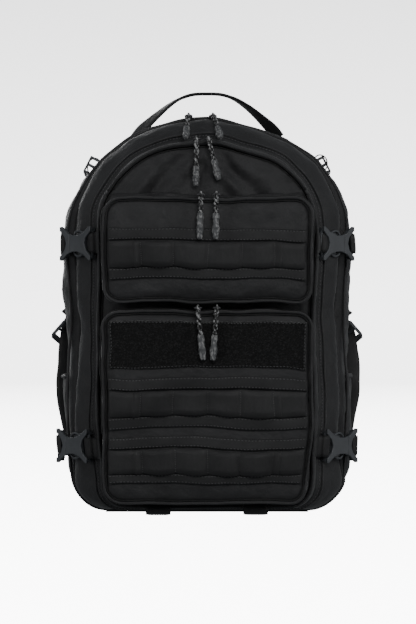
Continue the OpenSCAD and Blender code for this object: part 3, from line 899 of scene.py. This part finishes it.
def pockets():
    """Both front pockets with their webbing rows, the loop panel and the side label."""
    upper, lower = "upper_flap", "lower_flap"
    pocket("upper", UPPER, UPPER_ZIP_Y, UPPER_Y, UPPER_FOLD, "upper_pocket_shell",
           "upper_flap_panel", 4.5 * MM)
    pocket("lower", LOWER, LOWER_ZIP_Y, LOWER_Y, LOWER_FOLD, "lower_pocket_shell",
           "lower_flap_panel", 4.5 * MM)
    modular_row("upper_rows", UPPER_Y, 291 * MM, 30 * MM, upper,
                ((321.5 * MM, 14.5 * MM), (277 * MM, 13.5 * MM)), "upper_flap_webbing")
    modular_row("flap_rows", LOWER_Y, 117.5 * MM, 29 * MM, lower,
                ((147 * MM, 14 * MM), (103 * MM, 14 * MM)), "lower_flap_webbing")
    modular_row("base_rows", LOWER_Y, 50 * MM, 29 * MM, "pack",
                ((79.5 * MM, 13.5 * MM), (38.5 * MM, 11 * MM)), "lower_base_webbing")
    fuzzy_panel(lower)
    on(strip("label", [(-POCKET_HW - 0.6 * MM, LOWER_Y + 11 * MM, 38 * MM + 54 * MM * k / 12)
                       for k in range(13)], (0, 1, 0), 13 * MM, 0.9 * MM, "label", 7, 0.8 * MM),
       "pack", "label", "side_label")


def fuzzy_panel(body):
    """The loop panel, thick with pile, and the stitched edge that holds it."""
    lo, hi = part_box("loop_panel")
    cols, rows = 200, 52
    verts = []
    for r in range(rows):
        for c in range(cols):
            x = lo[0] + (hi[0] - lo[0]) * c / (cols - 1)
            z = lo[2] + (hi[2] - lo[2]) * r / (rows - 1)
            d = min(x - lo[0], hi[0] - x, z - lo[2], hi[2] - z)
            lift = 1.9 * MM * (1 - math.exp(-d / (1.2 * MM)))
            verts.append((x, LOWER_Y + 0.4 * MM - lift - 0.45 * MM * ripple(x, 0, z, 900, 2) * (d > 0), z))
    skin = add("loop_pile", verts, grid_faces(rows, cols), "loop")
    left, right, low, high = lo[0] + 2 * MM, hi[0] - 2 * MM, lo[2] + 2 * MM, hi[2] - 2 * MM
    corners = ((left, low), (right, low), (right, high), (left, high), (left, low))
    edge = [(x, LOWER_Y - 2 * MM, z) for x, z in corners]
    thick(skin, 1.2 * MM)
    on(join("loop_pad", [skin, stitches("loop_seam", edge, (0, -1, 0))]), body, "loop", "loop_panel")


# ---- zip sliders and their cord pulls ----

# how each zip's two pulls hang: leans in radians, sleeves and drops in mm, the tilt forward in degrees
PULLS = {
    "main": dict(leans=(-0.05, 0.14), sleeve=25, tilt=74, drops=(40, 42)),
    "front": dict(leans=(-0.02, 0.24), sleeve=24, tilt=0, drops=(34, 28)),
    "upper": dict(leans=(-0.03, -0.02), sleeve=30, tilt=0, drops=(24, 24)),
    "lower": dict(leans=(0.1, -0.08), sleeve=29, tilt=0, drops=(34, 34)),
}


CORD_R = 1.45 * MM


def slider_piece(node):
    """A die-cast slider: a waisted body, its bridge, and a tab with two arms round the bar."""
    lo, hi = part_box(node)
    cx = (lo[0] + hi[0]) / 2
    rear, front = hi[1], lo[1]
    body_mid = rear - 6.5 * MM
    main = node.startswith("main")
    z = lo[2]
    parts = []
    rows, verts = 9, []
    for r in range(rows):
        t = r / (rows - 1)
        w = (3.3 + 1.6 * abs(2 * t - 1) ** 1.5) * MM
        y = rear - 13 * MM * t
        for k in range(12):
            a = 2 * math.pi * k / 12
            verts.append((cx + w * math.copysign(abs(math.cos(a)) ** 0.5, math.cos(a)), y,
                          z + 2.2 * MM + 1.7 * MM * math.copysign(abs(math.sin(a)) ** 0.6, math.sin(a))))
    parts.append(tidy(add(node + "_b", verts, tube_faces(rows, 12), "slider")))
    bridge = curve([(cx, rear - 2 * MM, z + 3.4 * MM), (cx, body_mid, z + 5.6 * MM),
                    (cx, rear - 11 * MM, z + 3.4 * MM)], 12)
    parts.append(tube(node + "_c", bridge, 0.9 * MM, "slider", 8))
    bar_z = z + 2.3 * MM
    if main:
        tab = curve([(cx, body_mid - 1 * MM, z + 3 * MM), (cx, front + 7 * MM, z),
                     (cx, front + 1.5 * MM, bar_z - 1.5 * MM)], 16)
        parts.append(strip(node + "_tab", tab, (1, 0, 0), 9 * MM, 1.8 * MM, "slider"))
    for s in (-1, 1):
        arm = curve([(cx + s * 2 * MM, body_mid - 3 * MM, bar_z + 1.6 * MM),
                     (cx + s * 3.3 * MM, body_mid - 9 * MM, bar_z + 0.6 * MM),
                     (cx + s * 3.3 * MM, front + 1.6 * MM, bar_z)], 14)
        parts.append(tube(node + "_a", arm, 0.85 * MM, "slider", 8))
    parts.append(tube(node + "_r", [(cx - 3.6 * MM, front + 1.7 * MM, bar_z), (cx, front + 1.7 * MM, bar_z),
                                    (cx + 3.6 * MM, front + 1.7 * MM, bar_z)], 1.05 * MM, "slider", 10))
    on(join(node + "_cast", parts), node, "slider", node)
    return Vector((cx, front + 1.7 * MM, bar_z))


def cord_pull(zip_name, side, bar):
    """A doubled, twisted cord looped over the bar, knotted into a shrunk sleeve."""
    facts = PULLS[zip_name]
    name = f"{zip_name}_pull_{('left', 'right')[side]}"
    drop, lean = facts["drops"][side] * MM, facts["leans"][side]
    tilt = math.radians(facts["tilt"])
    down = Vector((math.sin(lean), -math.sin(tilt) * math.cos(lean), -math.cos(tilt) * math.cos(lean)))
    droop = 6 * MM if facts["tilt"] else 0
    line = [bar + down * (drop * k / 24) - Vector((0, 0, droop * (k / 24) ** 2)) for k in range(25)]
    ahead = Vector((1, 0, 0))
    strands = []
    for s in (-1, 1):
        path = []
        for k in range(25):
            t = k / 24
            twist = math.pi / 2 * min(t * 4, 1) + 2 * math.pi * 2.1 * max(t - 0.2, 0)
            d = heading(line, k)
            u = square(ahead, d)
            v = d.cross(u)
            r = (1.6 + 0.9 * math.exp(-t * 8)) * MM
            path.append(line[k] + (v * math.cos(twist) + u * math.sin(twist)) * r * s)
        strands.append(path)
    over = []
    d0 = (line[0] - line[1]).normalized()
    v0 = (line[1] - line[0]).normalized().cross(ahead)
    for k in range(1, 8):
        a = math.pi * k / 8
        over.append(bar + v0 * (-2.5 * MM * math.cos(a)) + d0 * (2.5 * MM * math.sin(a)))
    whole = strands[0][::-1] + over + strands[1]
    rope = tube(name + "_cord", whole, CORD_R, "cord", 10)
    on(rope, name, "cord", name)
    end_dir = (line[-1] - line[-2]).normalized()
    start = line[-1] - end_dir * 2 * MM
    on(shrunk_sleeve(name + "_sleeve", start, end_dir, facts["sleeve"] * MM, side), name, "cord")


def shrunk_sleeve(name, start, direction, length, seed):
    """A sleeve shrunk over the knot: lumps where the cord crosses under it, and a crimped end."""
    d = direction.normalized()
    u = (Vector((1, 0, 0)) - d * d.x).normalized()
    v = d.cross(u)
    rows, sides, verts = 34, 16, []
    for r in range(rows):
        t = r / (rows - 1)
        base = 3.3 + 1.2 * math.exp(-((t - 0.55) / 0.22) ** 2) + 0.5 * math.exp(-((t - 0.12) / 0.1) ** 2)
        base *= 1 - 0.14 * max(t - 0.86, 0) / 0.14
        for k in range(sides):
            a = 2 * math.pi * k / sides
            lump = 0.62 * math.sin(2 * a + 9.5 * t + seed) * math.sin(math.pi * min(t * 1.15, 1))
            ring = 0.16 * math.cos(2 * math.pi * 5.5 * t)
            rad = (base + lump + ring) * MM
            verts.append(start + d * (length * t) + (u * math.cos(a) + v * math.sin(a)) * rad)
    faces = grid_faces(rows, sides, True)
    verts.append(start + d * (length - 1.5 * MM))
    last = (rows - 1) * sides
    faces += [(last + k, last + (k + 1) % sides, rows * sides) for k in range(sides)]
    faces.append(tuple(range(sides))[::-1])
    return tidy(add(name, verts, faces, "sleeve"))


def pulls():
    """All sliders with their pulls."""
    for zip_name in PULLS:
        for side, word in enumerate(("left", "right")):
            bar = slider_piece(f"{zip_name}_slider_{word}")
            cord_pull(zip_name, side, bar)


# ---- compression buckles and straps ----

X_PLATE = [(-24, 18.4), (-19.5, 18.4), (-9, 11.4), (1, 8.8), (9, 8.8), (18, 11.6), (27, 18.6), (31, 18.2),
           (31, 14.4), (22.5, 7), (20, 0), (22.5, -7), (31, -14.4), (31, -18.2), (27, -18.6), (18, -11.6),
           (9, -8.8), (1, -8.8), (-9, -11.4), (-19.5, -18.4), (-24, -18.4), (-24, -15), (-14, -6.6),
           (-11.5, 0), (-14, 6.6), (-24, 15)]
BUCKLE_AT = (150.3, -45.3)              # x and y of an upper buckle's middle, in mm
BUCKLE_SPLIT = 14.2                     # where the socket's front plate ends and the plug's begins, in mm
STRAPS = {"lower": dict(z=80, out=4, bow=8.4), "upper": dict(z=320, out=0, bow=0)}     # in mm
SOLE = "upper_right"                    # the buckle whose pieces stand for a whole CAD node


def cut_outline(points, low, high):
    """The part of an outline between two values of its first coordinate."""
    out = points
    for at, sign in ((low, 1), (high, -1)):
        new = []
        for a, b in zip(out, out[1:] + out[:1]):
            ia, ib = sign * (a[0] - at) >= 0, sign * (b[0] - at) >= 0
            if ia:
                new.append(a)
            if ia != ib:
                t = (at - a[0]) / (b[0] - a[0])
                new.append((at, a[1] + (b[1] - a[1]) * t))
        out = new
    return out


def moulding(name, outline, n0, n1, material="buckle", bevel=0.9):
    """An outline (u, w) in mm made solid from n0 to n1, with rounded edges."""
    bm = bmesh.new()
    lower = [bm.verts.new((u * MM, n0 * MM, w * MM)) for u, w in outline]
    face = bm.faces.new(lower)
    bmesh.ops.recalc_face_normals(bm, faces=[face])
    made = bmesh.ops.extrude_face_region(bm, geom=[face])
    moved = [v for v in made["geom"] if isinstance(v, bmesh.types.BMVert)]
    bmesh.ops.translate(bm, verts=moved, vec=(0, (n1 - n0) * MM, 0))
    bmesh.ops.recalc_face_normals(bm, faces=bm.faces)
    mesh = bpy.data.meshes.new(name)
    bm.to_mesh(mesh)
    bm.free()
    mesh.materials.append(look(material))
    obj = placed(name, mesh)
    m = obj.modifiers.new("round", "BEVEL")
    m.width, m.segments, m.limit_method, m.angle_limit = bevel * MM, 3, "ANGLE", math.radians(28)
    applied(obj)
    obj.data.polygons.foreach_set("use_smooth", [True] * len(obj.data.polygons))
    m = obj.modifiers.new("normals", "WEIGHTED_NORMAL")
    m.keep_sharp = True
    return applied(obj)


def bar_piece(name, u, half, n, r):
    """A round bar of a buckle, upright at (u, n)."""
    return tube(name, [(u * MM, n * MM, w * half * MM) for w in (-1, 0, 1)], r * MM, "buckle", 12)


def both_edges(name, corners, n0, n1):
    """Two mirrored mouldings, from corners that are given for the upper one."""
    return [moulding(name, [(u, s * w) for u, w in corners][::s], n0, n1) for s in (-1, 1)]


def buckle_socket(name):
    """The X-shaped front plate's inner half, the shell behind it, its bar and cheeks."""
    front = moulding("s1", cut_outline(X_PLATE, -22, BUCKLE_SPLIT), -5.4, -2.2)
    shell = moulding("s2", [(-10.5, 8.4), (8.2, 8.4), (8.2, -8.4), (-10.5, -8.4)], -3, 3.6)
    back = moulding("s3", [(-22, 15), (-8, 13.5), (8.2, 13.5), (8.2, -13.5), (-8, -13.5),
                           (-22, -15), (-22, -12.5), (-13, -9), (-13, 9), (-22, 12.5)], 2.6, 4.8)
    cheeks = both_edges("s4", [(-22, 13), (-22, 16.8), (-15, 16.4), (-15, 13)], -3, 4.2)
    return join(name, [front, shell, back, bar_piece("s5", -20.6, 14, 0, 1.9), *cheeks])


def buckle_plug(name):
    """The front plate's outer half, the core, two bars, ears and the two prongs."""
    head = moulding("p1", cut_outline(X_PLATE, BUCKLE_SPLIT + 0.1, 33), -5.4, -2.2)
    core = moulding("p2", [(8.5, 9.2), (21, 6.5), (21, -6.5), (8.5, -9.2)], -3, 3.6)
    ears = both_edges("p3", [(25, 13), (25, 16.8), (33, 16.4), (33, 13)], -3.4, 3.8)
    prongs = []
    for s in (-1, 1):
        route = [Vector((u, 0.6, s * w)) * MM for u, w in ((12, 8), (8, 12.6), (2, 13.4), (-4, 11), (-6, 9))]
        prongs.append(tube("p4", curve(route, 22), 1.25 * MM, "buckle", 8))
    bars = [bar_piece("p5", 31, 14, 0, 1.9), bar_piece("p6", 24, 14, 1.2, 1.5)]
    return join(name, [head, core, *bars, *ears, *prongs])


def buckles():
    """Side-release buckles with an X-shaped front; the plug's arms arch out of the notches."""
    taller = Matrix.Diagonal((1, 1, 1.1, 1))
    for row, strap in STRAPS.items():
        for side, word in ((-1, "left"), (1, "right")):
            place = shift(BUCKLE_AT[0] + strap["out"], BUCKLE_AT[1], strap["z"]) @ turn(45, "Z") @ taller
            if side < 0:
                place = Matrix.Scale(-1, 4, (1, 0, 0)) @ place
            tag = f"{row}_{word}"
            socket, plug = buckle_socket("socket_" + tag), buckle_plug("plug_" + tag)
            for piece in (socket, plug):
                piece.data.transform(place)
                if side < 0:
                    piece.data.flip_normals()
            on(socket, "pack", "buckle", tag == SOLE and "buckle_sockets")
            on(plug, "plug_" + tag, "buckle", "plug_" + tag)
            buckle_webbing(tag, place, strap, side)


def buckle_webbing(tag, place, strap, side):
    """The sewn tab in the socket, and the strap that wraps the plug and runs to the back."""
    z = strap["z"] * MM

    def by_buckle(*spots):
        """Points at the buckle's own (u, n) in mm."""
        points = [place @ Vector((u * MM, n * MM, 0)) for u, n in spots]
        return [Vector((p.x, p.y, z)) for p in points]

    def by_pack(*spots):
        """Points at (x, y) in mm, on the buckle's side of the pack."""
        return [Vector((side * x * MM, y * MM, z)) for x, y in spots]

    def band(name, points, n, tall, *rest):
        return strip(name + tag, curve(points, n), (0, 0, 1), tall * MM, 1.5 * MM, "webbing", *rest)

    tab = by_buckle((-13, -1.4), (-19, -3.4), (-23.6, -1.6), (-24.4, 0.6))
    tab += by_pack((FRONT_HW / MM + 0.8, -66), (FRONT_HW / MM - 2.4, -80))
    on(band("tab_", tab, 26, 24), "pack", "webbing", tag == SOLE and "compression_tabs")
    wrap = by_buckle((26, -1.8), (31, -3.9), (34.6, -1), (33.4, 3), (27.5, 4.6))
    on(band("wrap_", wrap, 22, 23.4), "plug_" + tag, "webbing")
    x = 169 + strap["bow"]
    run = by_buckle((24, 6.8))
    run += by_pack((165 + 1.3 * strap["out"], -19), (x, -6), (x + 0.6, 20), (x, 50), (168, 82))
    on(band("strap_", run, 44, 25, 7, 1.2 * MM, 4), "pack", "webbing", tag == SOLE and "compression_straps")


# ---- handle, base, side pockets ----

def handle():
    """A webbing handle that lies flat at its top and turns its width to the front down its legs."""
    y = 50 * MM
    half = [(0, 502.5), (18, 501.5), (34, 496), (48, 487), (61, 476), (73, 465), (81, 457), (87, 449)]
    line = [(-x, z) for x, z in half[:0:-1]] + half
    path = curve([Vector((x * MM, y - (4 * MM if abs(x) > 60 else 0), z * MM)) for x, z in line], 72)
    piece = twisted_strip("handle", path, 25 * MM, 3.6 * MM)
    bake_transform(piece)
    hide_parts("carry_handle")
    for s in (-1, 1):
        xs = (56, 66, 78, 88, 97)
        patch = curve([Vector((s * x * MM, y - 1 * MM, MAIN.top(x * MM) + 1.6 * MM)) for x in xs], 16)
        foot = strip(f"handle_foot_{s + 1}", patch, (0, 1, 0), 31 * MM, 3 * MM, "webbing", 9)
        on(foot, "pack", "webbing", s > 0 and "handle_feet")


def twisted_strip(name, path, width, t):
    """A strap whose width lies along Y at its middle, turned and wider toward its ends."""
    n, cols = len(path), 9
    verts = []
    for i, q in enumerate(path):
        d = heading(path, i)
        flat = square((0, 1, 0), d)
        out = d.cross(flat)
        near = abs(2 * i / (n - 1) - 1)
        twist = math.radians(30) * min(max((near - 0.25) / 0.6, 0), 1) * (1 if i < n / 2 else -1)
        s = flat * math.cos(twist) + out * math.sin(twist)
        verts += strap_ring(q, s, d.cross(s), width * (1 - 0.2 * (1 - near) ** 2), t, cols)
    return tidy(add(name, verts, tube_faces(n, 2 * cols), "webbing"))


def base_and_sides():
    """The base panel, the lash loops under it and the slip pockets at the sides."""
    lo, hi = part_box("base_panel")
    cols, rows, verts = 40, 20, []
    for layer in (0, 1):
        for r in range(rows):
            for c in range(cols):
                x = lo[0] + (hi[0] - lo[0]) * c / (cols - 1)
                y = lo[1] + (hi[1] - lo[1]) * r / (rows - 1)
                verts.append((x, y, 0.0 if layer == 0 else 3.2 * MM))
    on(tidy(add("base", verts, shell_faces(rows, cols), "smooth")), "pack", "fabric", "base_panel")
    for s in (-1, 1):
        x = s * 59.5 * MM
        path = curve([(x, -46 * MM, 6.6 * MM), (x, -80 * MM, 2.6 * MM), (x, -112 * MM, 1.8 * MM),
                      (x, -124 * MM, 4 * MM), (x, -126 * MM, 9 * MM), (x, -118 * MM, 14.5 * MM),
                      (x, -92 * MM, 14.2 * MM)], 40)
        loop = strip(f"lash_{s + 1}", path, (1, 0, 0), 30 * MM, 2 * MM, "webbing", 9, 0.6 * MM)
        on(loop, "pack", "webbing", s > 0 and "lash_straps")
        slip_pocket(s)


def slip_pocket(s):
    """A slack side pocket, gathered by its elastic hem."""
    y0, y1, z0, z1 = 12 * MM, 78 * MM, 36 * MM, 162 * MM
    rows, cols, verts = 26, 26, []
    for r in range(rows):
        v = r / (rows - 1)
        for c in range(cols):
            u = c / (cols - 1)
            sag = math.sin(math.pi * u) ** 0.6 * (1 - math.exp(-v / 0.05))
            out = MAIN_HW + (0.6 + 8.6 * sag * (1 - 0.35 * v)) * MM
            out += 1.4 * MM * ripple(0, y0 + (y1 - y0) * u, z0 + (z1 - z0) * v, 45, 3 + s) * sag
            hem = 0.5 * MM * math.cos(u * 60) if v > 0.9 else 0
            verts.append((s * (out + hem), y0 + (y1 - y0) * u, z0 + (z1 - z0) * v))
    cloth_piece = thick(tidy(add("slip", verts, grid_faces(rows, cols), "fabric")), 1.3 * MM)
    top = [(x + s * 0.4 * MM, y, z1) for x, y, _ in verts[-cols:]]
    hem = tube("hem", top, 2.1 * MM, "binding", 8)
    foot = [(s * (MAIN_HW + 1 * MM), y0 + (y1 - y0) * c / 25, z0) for c in range(26)]
    seam = tube("seam", foot, 1.4 * MM, "binding", 8)
    on(join(f"slip_pocket_{s + 1}", [cloth_piece, hem, seam]), "pack", "fabric",
       s > 0 and "side_pockets")


# ---- the back: pads, straps and their fittings ----

# routes of the straps behind the right shoulder, in mm
SHOULDER = [(46, 94.5, 420), (48, 104, 440), (55, 130, 446), (66, 152, 416), (78, 164, 370), (92, 165, 322),
            (116, 156, 276), (146, 138, 240), (162, 128, 226)]
TAIL = [(155, 133, 236), (164.5, 126.5, 221.5), (168.5, 118, 206), (171, 110, 176), (171, 103, 136),
        (166, 97, 92), (154, 94, 62)]

LIFTER = [(118, 92, 412), (106, 106, 420), (94, 124, 429), (81, 143, 437)]
SLACK = [(127, 95, 418), (136, 97.5, 427), (144, 96, 424), (146, 93, 413), (140, 92.5, 403)]


def sided(route, side):
    """A route that is given for the right side in mm, on either side in metres."""
    return [Vector((side * x, y, z)) * MM for x, y, z in route]


def cushion(name, outline, y_back, depth, material, seed, channels=()):
    """A pad on the back panel: flat behind, crowned toward the wearer, drawn in at its channels."""
    cols, rows, verts = 44, 90, []
    for layer in (0, 1):
        for r in range(rows):
            z = outline.lo + (outline.hi - outline.lo) * (0.5 - 0.5 * math.cos(math.pi * r / (rows - 1)))
            w = outline.width(min(max(z, outline.lo + 1e-5), outline.hi - 1e-5))
            for c in range(cols):
                x = w * math.sin(math.pi / 2 * (2 * c / (cols - 1) - 1))
                free = 1 - math.exp(-outline.edge(x, z) / (7 * MM))
                dip = sum(math.exp(-((z - at) / (4 * MM)) ** 2) for at in channels)
                out = depth * free * (1 - 0.45 * dip) + 0.7 * MM * free * ripple(x, 0, z, 40, seed)
                verts.append((x, y_back + (out + 1.2 * MM if layer else 0), z))
    return tidy(add(name, verts, shell_faces(rows, cols), material))


def back_cushions():
    """Two tall pads and a low one across them."""
    tall = Outline(44 * MM, 122 * MM, 398 * MM, 22 * MM, 22 * MM, 22 * MM)
    wide = Outline(110 * MM, 31 * MM, 107 * MM, 22 * MM, 22 * MM, 22 * MM)
    for name, outline, x, channels in (("back_pad_left", tall, -72, (212 * MM, 306 * MM)),
                                       ("back_pad_right", tall, 72, (212 * MM, 306 * MM)),
                                       ("back_pad_low", wide, 0, ())):
        pad = cushion(name, outline, BACK_Y + 2.8 * MM, 12 * MM, "mesh", 51 + x, channels)
        ring = at_y(outline.inset(-0.5 * MM), BACK_Y + 4.4 * MM, 160)
        rim = tube(name + "_rim", ring, 1.8 * MM, "binding", 8, True)
        piece = join(name, [pad, rim])
        piece.data.transform(Matrix.Translation((x * MM, 0, 0)))
        on(piece, "pack", "fabric")
    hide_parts("back_pads")


def padded_strap(name, path, w0, w1, t, side):
    """A foam strap: crowned both ways, with bound edges and a webbing sewn along its outside."""
    line = curve(sided(path, side), 72)
    across = Vector((1, 0, 0))
    verts, edges, spine = [], ([], []), []
    n = 20
    for i, q in enumerate(line):
        d = heading(line, i)
        s = square(across, d)
        u = d.cross(s)
        half = (w0 + (w1 - w0) * i / 71) / 2 * MM
        tall = t / 2 * MM * (1 - 0.55 * math.exp(-min(i, 71 - i) / 2.5))
        for k in range(n):
            a = 2 * math.pi * k / n
            ca, sa = math.cos(a), math.sin(a)
            verts.append(q + s * half * math.copysign(abs(ca) ** 0.62, ca)
                         + u * tall * math.copysign(abs(sa) ** 0.8, sa)
                         * (1 + 0.08 * ripple(q.x, q.y + k, q.z, 40, 3)))
        edges[0].append(q + s * half)
        edges[1].append(q - s * half)
        outward = u if u.y > 0 or u.z > 0.5 else -u
        spine.append(q + outward * (tall + 0.7 * MM))
    pad = tidy(add(name, verts, tube_faces(72, n), "mesh"))
    trim = [tube(name + "_edge", e, 2 * MM, "binding", 8) for e in edges]
    web = strip(name + "_web", spine[6:62], (1, 0, 0), 25 * MM, 1.4 * MM, "webbing", 7)
    tacks = []
    for i in range(9, 60, 7):
        tacks.append(tube(name + "_tack", [spine[i] + across * (11 * k / 6 - 11) * MM for k in range(13)],
                          1.0 * MM, "thread", 5))
    return pad, join(name + "_trim", [*trim, web, *tacks])


def ladder_lock(name, w):
    """A moulded ladder lock lying flat in X and Z, its slots along X, with a pull lip."""
    parts = []
    for low, high in ((-11, -7.6), (-1.7, 1.9), (7.8, 11)):
        parts.append(moulding(name + "_bar", [(low, w / 2 + 2), (high, w / 2 + 2), (high, -w / 2 - 2),
                                              (low, -w / 2 - 2)], -2.6, 1.6, "buckle", 1.1))
    for s in (-1, 1):
        parts.append(moulding(name + "_rail", [(-11, s * (w / 2 + 0.4)), (-11, s * (w / 2 + 3)),
                                               (11, s * (w / 2 + 2.6)), (11, s * (w / 2 + 0.4))][::s],
                              -2.9, 2.2, "buckle", 1))
    lip = [(11, w / 2 + 2.2), (11, -w / 2 - 2.2), (15, -w / 2 + 2), (15, w / 2 - 2)]
    parts.append(moulding(name + "_lip", lip, 1.0, 2.8, "buckle", 0.7))
    return join(name, parts)


def harness():
    """Shoulder straps, their webbing, ladder locks and load lifters."""
    locks, lifters, tails, anchors = [], [], [], []
    for s, word in ((-1, "left"), (1, "right")):
        pad, trim = padded_strap("shoulder_" + word, SHOULDER, 60, 43, 12, s)
        on(pad, "pack", "fabric", s > 0 and "shoulder_straps")
        on(trim, "pack", "webbing")
        mirror = Matrix.Scale(s, 4, (1, 0, 0))
        small = turned(ladder_lock("lock", 16), mirror, shift(137, BACK_Y / MM + 12.6, 415), turn(62, "Y"),
                       turn(90, "X"), turn(-90, "X"))
        large = turned(ladder_lock("lock", 25), mirror, shift(173.5, 124.5, 212), turn(48, "Y"),
                       turn(38, "X"))
        locks += [small, large]
        tail = curve(sided(TAIL, s), 60)
        tails.append(strip("tail", tail, (1, 0, 0.3 * s), 25 * MM, 1.6 * MM, "webbing", 7, 1.6 * MM, 5 + s))
        lifter = curve(sided(LIFTER, s), 24)
        lifters.append(strip("lifter", lifter, (0, 0.2, 1), 18 * MM, 1.5 * MM, "webbing", 7))
        slack = curve(sided(SLACK, s), 24)
        lifters.append(strip("slack", slack, (0, 1, 0), 7 * MM, 1.5 * MM, "webbing", 5))
        anchor = add("anchor", [Vector((s * x, BACK_Y / MM + 5.6, z)) * MM for x, z in
                                ((118, 24), (152, 34), (166, 66), (148, 74))], [(0, 1, 2, 3)], "smooth")
        anchors.append(thick(tidy(anchor), 3 * MM, 0))
    for name, parts, slot, node in (("strap_locks", locks, "buckle", "ladder_locks"),
                                    ("lifters", lifters, "webbing", "load_lifters"),
                                    ("tails", tails, "webbing", "strap_webbing"),
                                    ("anchors", anchors, "fabric", "strap_anchors")):
        on(tidy(join(name, parts)), "pack", slot, node)


def sternum():
    """The sternum strap with its small side-release buckle."""
    y, z = 177 * MM, 350 * MM
    parts = []
    for x0, x1 in ((-92, -19), (13, 92)):
        line = [Vector((x0 + (x1 - x0) * k / 20, 177 + 0.8 * math.sin(k / 3), 350)) * MM for k in range(21)]
        parts.append(strip("s", line, (0, 0, 1), 19.5 * MM, 1.6 * MM, "webbing", 7))
    for x in (-86, 86):
        loop = [Vector((x, 176.4 + 4.6 * math.cos(a), 350 + 12.4 * math.sin(a))) * MM
                for a in [2 * math.pi * k / 24 for k in range(24)]]
        parts.append(tube("s", loop, 1.5 * MM, "buckle", 8, True))
    on(join("sternum_webbing", parts), "sternum", "webbing", "sternum_strap")
    body = [(-24, 12.5), (-10, 14), (2, 12.8), (2, -12.8), (-10, -14), (-24, -12.5)]
    shell = join("sternum_shell", [moulding("b", body, 1.2, 3.2), moulding("b", body, 7.6, 9.6),
                                   moulding("b", [(-24, 12.5), (-8, 13.4), (-8, -13.4), (-24, -12.5)],
                                            1.2, 9.4)])
    plug_shape = [(3, 12), (14, 13), (25, 12), (25, -12), (14, -13), (3, -12)]
    plug = [moulding("b", plug_shape, 2, 3.6), moulding("b", plug_shape, 6.8, 8.6),
            moulding("b", [(3, 12), (8.4, 12.4), (8.4, -12.4), (3, -12)], 2, 8.6)]
    for s in (-1, 1):
        plug.append(moulding("b", [(-5, s * 5), (-5, s * 7.6), (4, s * 8), (4, s * 4.4)][::s], 3.8, 7))
    stem = join("sternum_stem", plug)
    for piece, body_name, node in ((shell, "sternum", "sternum_socket"),
                                   (stem, "sternum_release", "sternum_plug")):
        piece.data.transform(Matrix.Translation((0, y, z)))
        on(piece, body_name, "buckle", node)


def inside():
    """The inner pieces keep their CAD shape, in fabric, mesh and sheet plastic."""
    for node, material, slot in (("frame_sheet", "sheet", "sheet"), ("inner_sleeve", "smooth", "fabric"),
                                 ("mesh_pocket", "mesh", "mesh"), ("front_organizer", "webbing", "webbing")):
        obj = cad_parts[node]
        obj.data.materials.clear()
        obj.data.materials.append(look(material))


noise.seed_set(1)       # without a seed, noise_vector gives another field at each run
camera()
studio()
pulls()
main_compartment()
front_compartment()
pockets()
buckles()
handle()
base_and_sides()
back_cushions()
harness()
sternum()
inside()
